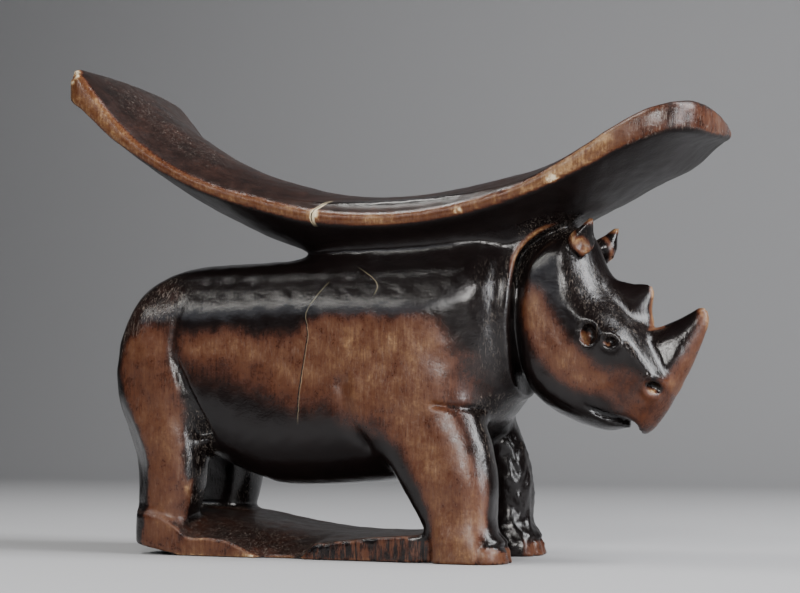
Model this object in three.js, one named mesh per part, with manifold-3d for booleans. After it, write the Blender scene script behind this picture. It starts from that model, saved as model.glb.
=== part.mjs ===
// A headrest carved from one block of dark wood in the form of a standing rhinoceros.
// A long saddle with raised ends is carried on the animal's back by a broad, flaring column,
// and a thin plate between the feet joins the four legs.
// Millimetres. X points forward to the animal's head, Y to its left side, Z up, and the
// underside lies in the plane Z = 0.
import * as THREE from 'three';
import { mergeVertices } from 'three/addons/utils/BufferGeometryUtils.js';
import Module from 'manifold-3d';

// Grid spacing of the surface, the number of triangles it is reduced to, and its tolerances.
const CELL = 1.6;
const TRIANGLES = 9500;
const MOST_PASSES = 20;
const THIN_FILL = 0.05;
const SLOPE_STEP = 0.05;
const LONGEST_MOVE = 0.6;
const LEAST_STEEPNESS = 0.05;
const LEAST_TURN = 0.5;
const LEAST_AREA = 1e-3;
const SHORT_EDGE_FIRST = 1e-4;
const NEARLY_FLAT = 1e-4;
const SPACE_MIN = new THREE.Vector3(-122, -40, -6.7);
const SPACE_MAX = new THREE.Vector3(117, 40, 176);
const GROUND = { length: 300, width: 120, depth: 20 };

// Saddle, measured along X: height of the rim, thickness of the rim, rise of the top above the
// rim, depth of the underside below the rim, and half the width.
const RIM_TOP = [
  [-121, 173], [-117, 172], [-113, 170.8], [-109, 168], [-103, 161], [-97, 153.6],
  [-89.5, 146], [-82, 139.8], [-68, 131], [-55, 125.3], [-41, 121], [-19, 115.3], [3, 112.9],
  [24, 113.4], [42, 116.3], [55, 119.8], [65, 124], [76, 129.8], [87, 135.8], [95, 139.4],
  [103, 141.6], [110, 142.4], [118, 142.4],
];
const RIM_THICKNESS = [
  [-121, 12], [-110, 12.3], [-103, 10.3], [-94, 7.2], [-83, 4.9], [-68, 3.7], [-41, 3.9],
  [-20, 4.1], [0, 3.8], [41, 3.7], [55, 3.9], [68, 5.1], [78, 6.7], [87, 7.6], [95, 8.6],
  [103, 8.4], [118, 8],
];
const CROWN_RISE = [
  [-121, 0.5], [-110, 2], [-98, 7], [-85, 10], [-63, 10], [-45, 8.8], [-27, 8.5], [7, 9],
  [26, 9.8], [44, 9.5], [58, 8], [72, 6], [88, 4], [101, 2], [115, 0.5],
];
const KEEL_DEPTH = [
  [-121, 0.5], [-104, 1], [-92, 4], [-80, 6], [-68, 7.2], [-58, 8], [-44, 9.6], [-30, 10.3],
  [0, 9.5], [41, 8.5], [55, 8], [65, 7.5], [80, 7], [95, 5.5], [106, 2.5], [118, 1],
];
const SADDLE_HALF_WIDTH = [
  [-120, 36], [-100, 35], [-60, 32], [0, 29.5], [50, 30], [90, 32], [118, 31],
];
const REAR_END = { x: -118, skew: 0.03, bow: 0.0035, corner: 5, slant: 0.8 };
const FRONT_END = { x: 112.3, bow: 0.0038, corner: 13 };
// The front end is thinner and lower towards the left.
const FRONT_WORN = { thinner: 0.55, lower: 2.2, fromY: -24, overY: 50, fromX: 94, overX: 14 };
const RIGHT_EDGE = -31;
const RIM_ROUND = 1.6;
const SADDLE_EDGE_ROUND = 2.2;
const SADDLE_REACH = 1.3;

// Body: outline seen from the side, and half its width along X.
const BODY_OUTLINE = [
  [-102.5, 68], [-100.5, 80], [-93.5, 91], [-83, 97.5], [-70, 100.5], [-45, 101], [-15, 102],
  [15, 104], [38, 104], [48, 92], [49, 76], [47, 61], [40, 48], [24, 35.5], [6, 27],
  [-15, 24.4], [-38, 23.8], [-47, 25.8], [-60, 30.5], [-82, 42], [-97, 55],
];
const BODY_HALF_WIDTH = [
  [-110, 26], [-90, 29.5], [-60, 30], [-30, 29.5], [0, 30], [20, 30], [36, 27], [52, 23],
];
const BODY_ROUNDING = [[45, 27], [84, 19]];
const BODY_SQUARENESS = 2.6;
// Sloping flats along both edges of the back.
const BACK_EDGE = { y: 29.6, z: 87, slant: 38, radius: 2.6 };

// Column between back and saddle, measured up Z: its front and rear edges and half its width.
const COLUMN_FRONT = [
  [55, 40], [82, 45], [98, 50], [104, 54], [108, 58], [112, 62], [118, 68],
];
const COLUMN_REAR = [[55, -30], [90, -31], [99, -27.5], [103, -25], [107, -26.5], [112, -31], [118, -38]];
const COLUMN_HALF_WIDTH = [[55, 16], [80, 20], [98, 19.5], [104, 18.5], [110, 20], [118, 24]];
const COLUMN_BOTTOM = 60;
const COLUMN_TOP = 116;
const COLUMN_SQUARENESS = 3.5;
const COLUMN_ROUNDING = 19;

// Legs: side outlines, then half the thickness and the distance from the middle, up Z.
const HIND_OUTLINE = [
  [-86, 88], [-96, 76], [-99.5, 60], [-96.5, 42], [-93, 26], [-90.5, 12], [-88, 3], [-87, -6],
  [-68, -6], [-69, 5], [-68.5, 13], [-65.5, 26], [-66, 40], [-70, 54], [-74, 68], [-78, 82],
];
const HIND_HALF_THICKNESS = [[-4, 9.5], [10, 9], [30, 9.5], [50, 11], [70, 14], [88, 15]];
const HIND_OFFSET = [[-4, 20], [30, 20], [50, 19], [70, 14], [88, 10]];
const FORE_OUTLINE = [
  [0, 72], [-10, 62], [-11, 52], [-6, 43], [2, 35.5], [9, 27.5], [15.5, 17], [20.5, 8], [21.5, 1],
  [21.5, -6], [46.5, -6], [46.5, 2], [45.6, 7], [42.5, 11.5], [42.8, 24], [40.5, 37], [35.5, 50],
  [30, 64], [18, 74],
];
const FORE_HALF_THICKNESS = [
  [-4, 10.5], [8, 10.2], [12, 9.3], [26, 9.5], [45, 10.5], [60, 13], [76, 13],
];
const FORE_OFFSET = [[-4, 21], [30, 21], [45, 19.5], [60, 15], [76, 10]];
const LEG_ROUNDING = 10;
const LEG_SQUARENESS = 2.5;
const LEFT_FORELEG_SET_BACK = 3;
// Upright flats on the legs: where they meet the outer face, up Z, and the round between the two.
const HIND_OUTER = 29.3;
const HIND_REAR_FLAT = [
  [6, -83.5], [18, -82.3], [32, -82], [44, -87], [52, -91.5], [63, -95], [75, -104],
];
const HIND_FRONT_FLAT = [
  [4, -67], [19, -66.5], [35, -68.2], [53, -68.4], [60, -70], [69, -72.3], [84, -72],
];
const HIND_FLAT = { turn: 45, round: 1.6 };
const FORE_OUTER = 30.5;
const FORE_FLAT_LINE = [[2, 47], [12, 43], [24, 40], [32, 37], [42, 32.5], [52, 29], [66, 30]];
const FORE_FLAT = { turn: 35, round: 5 };

// Plate between the feet: height of its top along X, and how far its right edge is worn down.
const PLATE_TOP = [
  [-95, 15], [-65, 13.3], [-49, 10.5], [-29, 8], [-10, 7.4], [5, 7.9], [22, 8.8], [30, 8.8],
];
const PLATE_WEAR = [
  [-90, 0], [-76, 2], [-70, 4], [-66, 6.6], [-58, 5.7], [-50, 5.2], [-45, 6.4], [-40, 8],
  [-34, 8.2], [-25, 7.2], [-22, 6.6], [-20, 4.4], [-18, 2.5], [-14, 1.6], [-6, 0.6], [4, 0],
  [25, 0],
];
const PLATE = { x: -33, halfLength: 56, halfWidth: 30, corner: 8, edgeRound: 1.2, wearFrom: 28 };
const UNDERSIDE = [[-92, 4.6], [-80, 2.4], [-70, 0.3], [-64, -1.5], [-58, -3]];

// Head, horns and ears.
const HEAD_OUTLINE = [
  [56, 108], [66, 108], [70.5, 103.5], [73, 97], [76.5, 89], [83, 80.5], [89, 74], [94, 65],
  [97, 57.5], [95, 51.5], [91.5, 46], [88, 42], [85, 40.8], [81.5, 43], [75, 42], [69, 43],
  [62, 45.5], [54, 50], [47, 57], [42.5, 66], [40, 76], [41, 90], [46, 102],
];
const HEAD_AXIS = { x: 60, z: 100, dx: 0.454, dz: -0.891 };
const HEAD_HALF_WIDTH = [[-10, 13], [0, 15], [15, 17.3], [30, 18.3], [42, 16.3], [54, 12], [64, 8]];
const JAW_ROUNDING = [[0, 13], [15, 14], [30, 14], [42, 12], [54, 8.5], [64, 6]];
const JAW_SQUARENESS = 2.3;
const FACE_ROUNDING = [[0, 9.5], [10, 12.5], [20, 13.5], [29, 10.5], [37, 8], [47, 6], [64, 4]];
const FACE_SQUARENESS = 1.6;
// Where the round jaw passes into the ridged face, measured forward from the head's axis.
const FACE_FROM = -5;
const FACE_FULL = 4;
const FRONT_HORN_OUTLINE = [
  [86, 73], [92, 75.2], [97.5, 77.4], [101.5, 79.5], [104, 80.7], [106, 80.4], [106.9, 77.8],
  [106.2, 73.6], [103.4, 67], [100.2, 60.6], [96.6, 55.2], [92, 53.5], [86, 60],
];
const FRONT_HORN_AXIS = { x: 90, z: 66, dx: 0.79, dz: 0.61 };
const FRONT_HORN_HALF_WIDTH = [[-4, 8.5], [4, 7.5], [10, 5.5], [16, 3.5], [22, 1.8]];
const FRONT_HORN_ROUNDING = 6;
const FRONT_HORN_SQUARENESS = 2;
const REAR_HORN_OUTLINE = [
  [71, 96], [75, 92.2], [78, 90.4], [82.5, 89.3], [86.5, 88.8], [88.7, 88], [89.2, 85],
  [88.5, 80], [88.8, 75.5], [84, 73], [74, 83],
];
const REAR_HORN_AXIS = { x: 78, z: 80, dx: 0.77, dz: 0.64 };
const REAR_HORN_HALF_WIDTH = [[-6, 9], [2, 6.5], [8, 3.6], [14, 1.8]];
const REAR_HORN_ROUNDING = 5;
const REAR_HORN_SQUARENESS = 1.8;
const EAR = { foot: [69.2, 12.6, 102.2], tip: [72.9, 14, 109], footRadius: 4.1, tipRadius: 0.8 };
const EAR_ROOT = {
  foot: [69.2, 12.6, 102.2], tip: [68.8, 12.6, 98.2], footRadius: 4.1, tipRadius: 1.2,
};
const EAR_HOLLOW = {
  foot: [71.7, 16, 101.4], tip: [75.4, 16.6, 110], footRadius: 3.6, tipRadius: 1.3,
};
const EAR_SWELL = 1;
const EYE = { centre: [72.9, 18.2, 72.4], radii: [2.4, 3.6, 3.3], tilt: 0 };
const NOSTRIL = { centre: [92.2, 11.5, 55.2], radii: [2.5, 3, 1.7], tilt: -40 };
const MOUTH_OUTLINE = [
  [70.5, 50], [76, 48], [82, 45.6], [85.2, 43.6], [84, 39], [81.5, 42.2], [76, 45.2], [72, 47.6],
];
const MOUTH_CORE = [[70, 13.5], [76, 8], [80, 3], [82, -2]];
const COLLAR = { height: 1.5, distance: 3.6, spread: 2.4, from: 45, to: 108, fade: 8 };
const COLLAR_GROOVE = { depth: 2.2, spread: 2.2 };

// Cut lines on both flanks, seen from the side: behind the foreleg, and the fold above it.
const CREASES = [
  { line: [[-7.5, 57], [-6.5, 51], [-4, 42.5], [0, 38]], depth: 1.1, spread: 2.6 },
  { line: [[24.5, 50.3], [30.3, 49.5], [37.5, 48.9]], depth: 1.2, spread: 1.2 },
];
const CREASE_FROM = 12;
const CREASE_FULL = 18;
// Thigh line up Z: its place, its depth, and how far the hollow runs back from it.
const THIGH_LINE = [
  [38, -59.5], [48.9, -63.2], [60.3, -68.5], [68.6, -72], [83.3, -70.6], [90, -69.5],
];
const THIGH_DEPTH = [[38, 4.5], [48.9, 3.2], [60.3, 1.7], [68.6, 0.9], [80, 0.6], [87, 0]];
const THIGH_HOLLOW = [[38, 9], [48.9, 5.5], [60.3, 3], [68.6, 1.6], [90, 1.5]];
const THIGH_FRONT = 1.6;
const THIGH_FADE = 4;

// Chipped corner at the saddle's raised end.
const TIP_CHIP = { centre: [-113.8, -37, 170.5], radii: [4.6, 7, 5], tilt: 0 };

// Radii of the edges of what is cut in, and of the hollows where two forms meet.
const CUT_EDGE = { ears: 0.6, pits: 0.7, mouth: 0.8, underside: 0.8 };
const FILLET = {
  legs: 4.5, plate: 3, column: 6, back: 5, horns: 1.8, ears: 0.9, head: 1.4,
};

// Smooth joining and cutting of two distances.
function join(a, b, radius) {
  const h = Math.min(1, Math.max(0, 0.5 + (0.5 * (b - a)) / radius));
  return b + (a - b) * h - radius * h * (1 - h);
}

function cut(a, b, radius) {
  return -join(-a, b, radius);
}

function common(a, b, radius) {
  return -join(-a, -b, radius);
}

// Rises smoothly from 0 to 1 over the given width.
function fade(at, width) {
  const t = Math.min(1, Math.max(0, at / width));
  return t * t * (3 - 2 * t);
}

// A smooth curve through [position, value] knots, held constant beyond both ends.
function curve(knots) {
  const last = knots.length - 1;
  const slopes = knots.map((knot, i) => {
    if (i === 0) return (knots[1][1] - knot[1]) / (knots[1][0] - knot[0]);
    if (i === last) return (knot[1] - knots[i - 1][1]) / (knot[0] - knots[i - 1][0]);
    const before = knot[0] - knots[i - 1][0];
    const after = knots[i + 1][0] - knot[0];
    const rise = (knot[1] - knots[i - 1][1]) / before;
    const next = (knots[i + 1][1] - knot[1]) / after;
    return (rise * after + next * before) / (before + after);
  });
  return (at) => {
    if (at <= knots[0][0]) return knots[0][1];
    if (at >= knots[last][0]) return knots[last][1];
    let i = 0;
    while (knots[i + 1][0] < at) i += 1;
    const span = knots[i + 1][0] - knots[i][0];
    const t = (at - knots[i][0]) / span;
    const s = 1 - t;
    const ends = (1 + 2 * t) * s * s * knots[i][1] + t * t * (3 - 2 * t) * knots[i + 1][1];
    return ends + span * (t * s * s * slopes[i] - t * t * s * slopes[i + 1]);
  };
}

// A closed smooth outline through its corner points, as a polygon.
function outline(points, steps = 4) {
  const n = points.length;
  const polygon = [];
  for (let i = 0; i < n; i += 1) {
    const [a, b, c, d] = [-1, 0, 1, 2].map((k) => points[(i + k + n) % n]);
    for (let s = 0; s < steps; s += 1) {
      const t = s / steps;
      polygon.push([0, 1].map((k) => 0.5 * (2 * b[k] + (c[k] - a[k]) * t
        + (2 * a[k] - 5 * b[k] + 4 * c[k] - d[k]) * t * t
        + (3 * b[k] - a[k] - 3 * c[k] + d[k]) * t * t * t)));
    }
  }
  return polygon;
}

// Distance in the side view from a point to an outline, negative inside.
function outlineDistance(x, z, polygon) {
  let best = Infinity;
  let inside = false;
  let [ax, az] = polygon[polygon.length - 1];
  for (const [bx, bz] of polygon) {
    const ex = bx - ax;
    const ez = bz - az;
    const wx = x - ax;
    const wz = z - az;
    const t = Math.min(1, Math.max(0, (wx * ex + wz * ez) / (ex * ex + ez * ez)));
    best = Math.min(best, (wx - ex * t) ** 2 + (wz - ez * t) ** 2);
    if ((az > z) !== (bz > z) && x < (ex * (z - az)) / ez + ax) inside = !inside;
    ax = bx;
    az = bz;
  }
  return inside ? -Math.sqrt(best) : Math.sqrt(best);
}

// How deep the hollow in front of the thigh is below a place in the side view.
function thighDepth(x, z) {
  const ahead = x - thighLine(z);
  const hollow = ahead > 0
    ? Math.exp(-((ahead / THIGH_FRONT) ** 2))
    : Math.max(0, 1 + ahead / thighHollow(z));
  return thighDeep(z) * hollow * fade(z - THIGH_LINE[0][0], THIGH_FADE);
}

// How deep the cut lines are below a place in the side view.
function creaseDepth(x, z) {
  let depth = thighDepth(x, z);
  for (const { line, depth: full, spread } of CREASES) {
    let best = Infinity;
    for (let i = 1; i < line.length; i += 1) {
      const [ax, az] = line[i - 1];
      const ex = line[i][0] - ax;
      const ez = line[i][1] - az;
      const t = Math.min(1, Math.max(0, ((x - ax) * ex + (z - az) * ez) / (ex * ex + ez * ez)));
      best = Math.min(best, Math.hypot(x - ax - ex * t, z - az - ez * t));
    }
    depth = Math.max(depth, full * Math.exp(-((best / spread) ** 2)));
  }
  return depth;
}

// The form left when a side outline is cut through a block and its edges are rounded off.
function carved(side, y, half, rounding, power) {
  const across = Math.abs(y) / half;
  const edge = Math.max(0, 1 + side / rounding);
  return ((across ** power + edge ** power) ** (1 / power) - 1) * Math.min(rounding, half);
}

// A rectangle with rounded corners in plan, from its distances along and across.
function roundedCorner(along, across, radius) {
  const reach = Math.hypot(Math.max(along + radius, 0), Math.max(across + radius, 0));
  return reach + Math.min(Math.max(along, across) + radius, 0) - radius;
}

// An ellipsoid, tilted in the side view by some degrees.
function ellipsoid(x, y, z, { centre, radii, tilt }) {
  const c = Math.cos(THREE.MathUtils.degToRad(tilt));
  const s = Math.sin(THREE.MathUtils.degToRad(tilt));
  const dx = x - centre[0];
  const dz = z - centre[2];
  const p = [dx * c + dz * s, y - centre[1], dz * c - dx * s];
  const near = Math.hypot(p[0] / radii[0], p[1] / radii[1], p[2] / radii[2]);
  const far = Math.hypot(p[0] / radii[0] ** 2, p[1] / radii[1] ** 2, p[2] / radii[2] ** 2);
  return (near * (near - 1)) / Math.max(far, 1e-6);
}

// A straight limb with round section, tapering from foot to tip.
function taper(x, y, z, { foot, tip, footRadius, tipRadius }) {
  const p = [x - foot[0], y - foot[1], z - foot[2]];
  const e = [tip[0] - foot[0], tip[1] - foot[1], tip[2] - foot[2]];
  const length2 = e[0] ** 2 + e[1] ** 2 + e[2] ** 2;
  const t = Math.min(1, Math.max(0, (p[0] * e[0] + p[1] * e[1] + p[2] * e[2]) / length2));
  const reach = Math.hypot(p[0] - e[0] * t, p[1] - e[1] * t, p[2] - e[2] * t);
  return reach - (footRadius + (tipRadius - footRadius) * t);
}

function along(axis, x, z) {
  return (x - axis.x) * axis.dx + (z - axis.z) * axis.dz;
}

const rimTop = curve(RIM_TOP);
const rimThickness = curve(RIM_THICKNESS);
const crownRise = curve(CROWN_RISE);
const keelDepth = curve(KEEL_DEPTH);
const saddleHalfWidth = curve(SADDLE_HALF_WIDTH);
const bodyHalfWidth = curve(BODY_HALF_WIDTH);
const bodyRounding = curve(BODY_ROUNDING);
const columnFront = curve(COLUMN_FRONT);
const columnRear = curve(COLUMN_REAR);
const columnHalfWidth = curve(COLUMN_HALF_WIDTH);
const hindHalfThickness = curve(HIND_HALF_THICKNESS);
const hindOffset = curve(HIND_OFFSET);
const foreHalfThickness = curve(FORE_HALF_THICKNESS);
const foreOffset = curve(FORE_OFFSET);
const hindRearFlat = curve(HIND_REAR_FLAT);
const hindFrontFlat = curve(HIND_FRONT_FLAT);
const foreFlat = curve(FORE_FLAT_LINE);
const plateTop = curve(PLATE_TOP);
const plateWear = curve(PLATE_WEAR);
const underside = curve(UNDERSIDE);
const headHalfWidth = curve(HEAD_HALF_WIDTH);
const jawRounding = curve(JAW_ROUNDING);
const faceRounding = curve(FACE_ROUNDING);
const frontHornHalfWidth = curve(FRONT_HORN_HALF_WIDTH);
const rearHornHalfWidth = curve(REAR_HORN_HALF_WIDTH);
const mouthCore = curve(MOUTH_CORE);
const thighLine = curve(THIGH_LINE);
const thighDeep = curve(THIGH_DEPTH);
const thighHollow = curve(THIGH_HOLLOW);
const bodyOutline = outline(BODY_OUTLINE);
const hindOutline = outline(HIND_OUTLINE);
const foreOutline = outline(FORE_OUTLINE);
const headOutline = outline(HEAD_OUTLINE);
const frontHornOutline = outline(FRONT_HORN_OUTLINE);
const rearHornOutline = outline(REAR_HORN_OUTLINE);
const mouthOutline = outline(MOUTH_OUTLINE);

// Everything that depends only on the side view, so it is worked out once for a line of points.
function sideView(x, z) {
  const front = columnFront(z);
  const rear = columnRear(z);
  const down = along(HEAD_AXIS, x, z);
  const ahead = (x - HEAD_AXIS.x) * -HEAD_AXIS.dz - (z - HEAD_AXIS.z) * -HEAD_AXIS.dx;
  return {
    body: outlineDistance(x, z, bodyOutline),
    bodyHalf: bodyHalfWidth(x),
    bodyRounding: bodyRounding(z),
    hind: outlineDistance(x, z, hindOutline),
    hindHalf: hindHalfThickness(z),
    hindOffset: hindOffset(z),
    foreRight: outlineDistance(x, z, foreOutline),
    foreLeft: outlineDistance(x + LEFT_FORELEG_SET_BACK, z, foreOutline),
    foreHalf: foreHalfThickness(z),
    foreOffset: foreOffset(z),
    rearFlat: hindRearFlat(z) - x,
    frontFlat: x - hindFrontFlat(z),
    foreFlat: x - foreFlat(z),
    head: outlineDistance(x, z, headOutline),
    headHalf: headHalfWidth(down),
    jawRounding: jawRounding(down),
    faceRounding: faceRounding(down),
    face: fade(ahead - FACE_FROM, FACE_FULL - FACE_FROM),
    frontHorn: outlineDistance(x, z, frontHornOutline),
    frontHornHalf: frontHornHalfWidth(along(FRONT_HORN_AXIS, x, z)),
    rearHorn: outlineDistance(x, z, rearHornOutline),
    rearHornHalf: rearHornHalfWidth(along(REAR_HORN_AXIS, x, z)),
    mouth: outlineDistance(x, z, mouthOutline),
    mouthCore: mouthCore(x),
    columnX: (front + rear) / 2,
    columnHalfLength: (front - rear) / 2,
    columnHalf: columnHalfWidth(z),
    rimTop: rimTop(x),
    rimThickness: rimThickness(x),
    crownRise: crownRise(x),
    keelDepth: keelDepth(x),
    rimSlope: (rimTop(x + 1) - rimTop(x - 1)) / 2,
    frontWorn: fade(x - FRONT_WORN.fromX, FRONT_WORN.overX),
    saddleHalf: saddleHalfWidth(x),
    plateTop: plateTop(x),
    plateWear: plateWear(x),
    underside: underside(x),
    crease: creaseDepth(x, z),
    collar: fade(z - COLLAR.from, COLLAR.fade) * fade(COLLAR.to - z, COLLAR.fade),
  };
}

function saddle(x, y, z, view) {
  const across = Math.min(SADDLE_REACH, Math.abs(y) / view.saddleHalf);
  const dome = 1 - across * across;
  const upright = 1 / Math.hypot(1, view.rimSlope);
  const worn = view.frontWorn * fade(y - FRONT_WORN.fromY, FRONT_WORN.overY);
  const thickness = view.rimThickness * (1 - FRONT_WORN.thinner * worn);
  const height = view.rimTop + view.crownRise * dome - FRONT_WORN.lower * worn;
  const top = (z - height) * upright;
  const bottom = (view.rimTop - thickness - view.keelDepth * dome - z) * upright;
  const side = Math.abs(y) - view.saddleHalf;
  const end = REAR_END.x + REAR_END.skew * (y - RIGHT_EDGE) + REAR_END.bow * y * y;
  const rear = REAR_END.slant * (end - x);
  const front = x - FRONT_END.x + FRONT_END.bow * y * y;
  const plan = Math.max(
    roundedCorner(rear, side, REAR_END.corner),
    roundedCorner(front, side, FRONT_END.corner),
  );
  return common(common(top, bottom, RIM_ROUND), plan, SADDLE_EDGE_ROUND);
}

function column(x, y, z, view) {
  const lengthwise = Math.abs(x - view.columnX) / view.columnHalfLength;
  const across = Math.abs(y) / view.columnHalf;
  const power = COLUMN_SQUARENESS;
  const section = ((lengthwise ** power + across ** power) ** (1 / power) - 1) * COLUMN_ROUNDING;
  return Math.max(section, z - COLUMN_TOP, COLUMN_BOTTOM - z);
}

function plate(x, y, z, view) {
  const worn = y < 0 ? view.plateWear * Math.min(1, -y / PLATE.wearFrom) ** 2 : 0;
  const length = Math.abs(x - PLATE.x) - PLATE.halfLength;
  const plan = roundedCorner(length, Math.abs(y) - PLATE.halfWidth, PLATE.corner);
  return common(z - view.plateTop + worn, plan, PLATE.edgeRound);
}

// A limb with an upright flat cut along one side of its outer face.
function flattened(limb, beyond, outward, { turn, round }) {
  const angle = THREE.MathUtils.degToRad(turn);
  return common(limb, beyond * Math.sin(angle) + outward * Math.cos(angle), round);
}

function legs(y, view) {
  const mirrored = Math.abs(y);
  const limb = (side, offset, half) => (
    carved(side, mirrored - offset, half, LEG_ROUNDING, LEG_SQUARENESS));
  let hind = limb(view.hind, view.hindOffset, view.hindHalf);
  hind = flattened(hind, view.rearFlat, mirrored - HIND_OUTER, HIND_FLAT);
  hind = flattened(hind, view.frontFlat, mirrored - HIND_OUTER, HIND_FLAT);
  const fore = limb(y > 0 ? view.foreLeft : view.foreRight, view.foreOffset, view.foreHalf);
  const setBack = y > 0 ? LEFT_FORELEG_SET_BACK : 0;
  return Math.min(hind, flattened(fore, view.foreFlat + setBack, mirrored - FORE_OUTER, FORE_FLAT));
}

function horns(y, view) {
  const { frontHorn, frontHornHalf, rearHorn, rearHornHalf } = view;
  return Math.min(
    carved(frontHorn, y, frontHornHalf, FRONT_HORN_ROUNDING, FRONT_HORN_SQUARENESS),
    carved(rearHorn, y, rearHornHalf, REAR_HORN_ROUNDING, REAR_HORN_SQUARENESS),
  );
}

// The body without its legs, with a sloping flat along each edge of the back.
function body(y, z, view) {
  const slant = THREE.MathUtils.degToRad(BACK_EDGE.slant);
  const edge = (Math.abs(y) - BACK_EDGE.y) * Math.cos(slant) + (z - BACK_EDGE.z) * Math.sin(slant);
  const round = carved(view.body, y, view.bodyHalf, view.bodyRounding, BODY_SQUARENESS);
  return common(round, edge, BACK_EDGE.radius);
}

// The head without horns and ears: a round jaw below, a ridged face above.
function skull(y, view) {
  const jaw = carved(view.head, y, view.headHalf, view.jawRounding, JAW_SQUARENESS);
  const face = carved(view.head, y, view.headHalf, view.faceRounding, FACE_SQUARENESS);
  return jaw + (face - jaw) * view.face;
}

// One of the two cupped ears.
function ear(x, mirrored, z) {
  const leaf = join(taper(x, mirrored, z, EAR), taper(x, mirrored, z, EAR_ROOT), EAR_SWELL);
  return cut(leaf, taper(x, mirrored, z, EAR_HOLLOW), CUT_EDGE.ears);
}

// The whole form as a distance: negative inside the wood.
function form(x, y, z, view = sideView(x, z)) {
  const mirrored = Math.abs(y);
  const cheeks = skull(y, view);
  let wood = join(body(y, z, view), legs(y, view), FILLET.legs);
  wood = join(wood, plate(x, y, z, view), FILLET.plate);
  wood += view.crease * fade(mirrored - CREASE_FROM, CREASE_FULL - CREASE_FROM);
  const carrier = join(saddle(x, y, z, view), column(x, y, z, view), FILLET.column);
  wood = join(wood, carrier, FILLET.back);
  const raised = Math.exp(-(((cheeks - COLLAR.distance) / COLLAR.spread) ** 2));
  wood -= COLLAR.height * raised * view.collar;
  const crease = Math.exp(-((Math.hypot(wood, cheeks) / COLLAR_GROOVE.spread) ** 2)) * view.collar;
  let head = join(cheeks, horns(y, view), FILLET.horns);
  head = join(head, ear(x, mirrored, z), FILLET.ears);
  wood = join(wood, head, FILLET.head);
  wood += COLLAR_GROOVE.depth * crease;
  const mouth = common(view.mouth, view.mouthCore - mirrored, CUT_EDGE.mouth);
  wood = cut(wood, ellipsoid(x, mirrored, z, EYE), CUT_EDGE.pits);
  wood = cut(wood, ellipsoid(x, mirrored, z, NOSTRIL), CUT_EDGE.pits);
  wood = cut(wood, mouth, CUT_EDGE.mouth);
  wood = cut(wood, ellipsoid(x, y, z, TIP_CHIP), CUT_EDGE.pits);
  return common(wood, view.underside - z, CUT_EDGE.underside);
}

// The eight corners of a grid cell and its twelve edges.
const CORNERS = [0, 1, 2, 3, 4, 5, 6, 7].map((c) => [c >> 2, (c >> 1) & 1, c & 1]);
const EDGES = [];
CORNERS.forEach((corner, c) => [4, 2, 1].forEach((bit) => {
  if (!(c & bit)) EDGES.push([c, c | bit]);
}));

// True when the chosen corners of a cell hang together along its edges.
function connected(chosen) {
  if (chosen.length === 0) return true;
  const reached = new Set([chosen[0]]);
  for (let pass = 0; pass < 8; pass += 1) {
    for (const [a, b] of EDGES) {
      if (chosen.includes(a) && chosen.includes(b) && (reached.has(a) || reached.has(b))) {
        reached.add(a).add(b);
      }
    }
  }
  return reached.size === chosen.length;
}

// For each pattern of wood and air at a cell's corners: does one single sheet cross the cell?
const SINGLE_SHEET = Array.from({ length: 256 }, (_, pattern) => {
  const all = CORNERS.map((_corner, c) => c);
  const wood = all.filter((c) => (pattern >> c) & 1);
  const air = all.filter((c) => !((pattern >> c) & 1));
  return connected(wood) && connected(air);
});

// The form sampled on a grid of points.
function sample() {
  const counts = SPACE_MAX.clone().sub(SPACE_MIN).divideScalar(CELL).ceil().addScalar(1).toArray();
  const origin = SPACE_MIN.toArray();
  const [nx, ny, nz] = counts;
  const strides = [ny * nz, nz, 1];
  const values = new Float64Array(nx * ny * nz);
  for (let i = 0; i < nx; i += 1) {
    for (let k = 0; k < nz; k += 1) {
      const x = origin[0] + i * CELL;
      const z = origin[2] + k * CELL;
      const view = sideView(x, z);
      for (let j = 0; j < ny; j += 1) {
        const rim = i === 0 || j === 0 || k === 0 || i === nx - 1 || j === ny - 1 || k === nz - 1;
        const value = form(x, origin[1] + j * CELL, z, view);
        values[i * strides[0] + j * strides[1] + k] = rim ? Math.max(value, THIN_FILL) : value;
      }
    }
  }
  const corners = CORNERS.map((c) => c[0] * strides[0] + c[1] * strides[1] + c[2]);
  return { values, origin, counts, strides, corners };
}

// Calls back with every grid cell that has wood and air at its corners.
function eachCrossedCell({ values, counts, strides, corners }, visit) {
  const [nx, ny, nz] = counts;
  for (let i = 0; i < nx - 1; i += 1) {
    for (let j = 0; j < ny - 1; j += 1) {
      for (let k = 0; k < nz - 1; k += 1) {
        const cell = i * strides[0] + j * strides[1] + k;
        let pattern = 0;
        for (let c = 0; c < 8; c += 1) {
          if (values[cell + corners[c]] < 0) pattern |= 1 << c;
        }
        if (pattern !== 0 && pattern !== 255) visit(cell, pattern, [i, j, k]);
      }
    }
  }
}

// Fills the thinnest air corner of each doubtful cell, until one sheet crosses every cell.
function tidySheets(grid) {
  const { values, corners } = grid;
  for (let pass = 0, doubtful = 1; doubtful > 0 && pass < MOST_PASSES; pass += 1) {
    doubtful = 0;
    eachCrossedCell(grid, (cell, pattern) => {
      if (SINGLE_SHEET[pattern]) return;
      doubtful += 1;
      const air = corners.filter((c) => values[cell + c] >= 0);
      const thinnest = air.reduce((a, b) => (values[cell + a] < values[cell + b] ? a : b));
      values[cell + thinnest] = -THIN_FILL;
    });
  }
}

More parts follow.
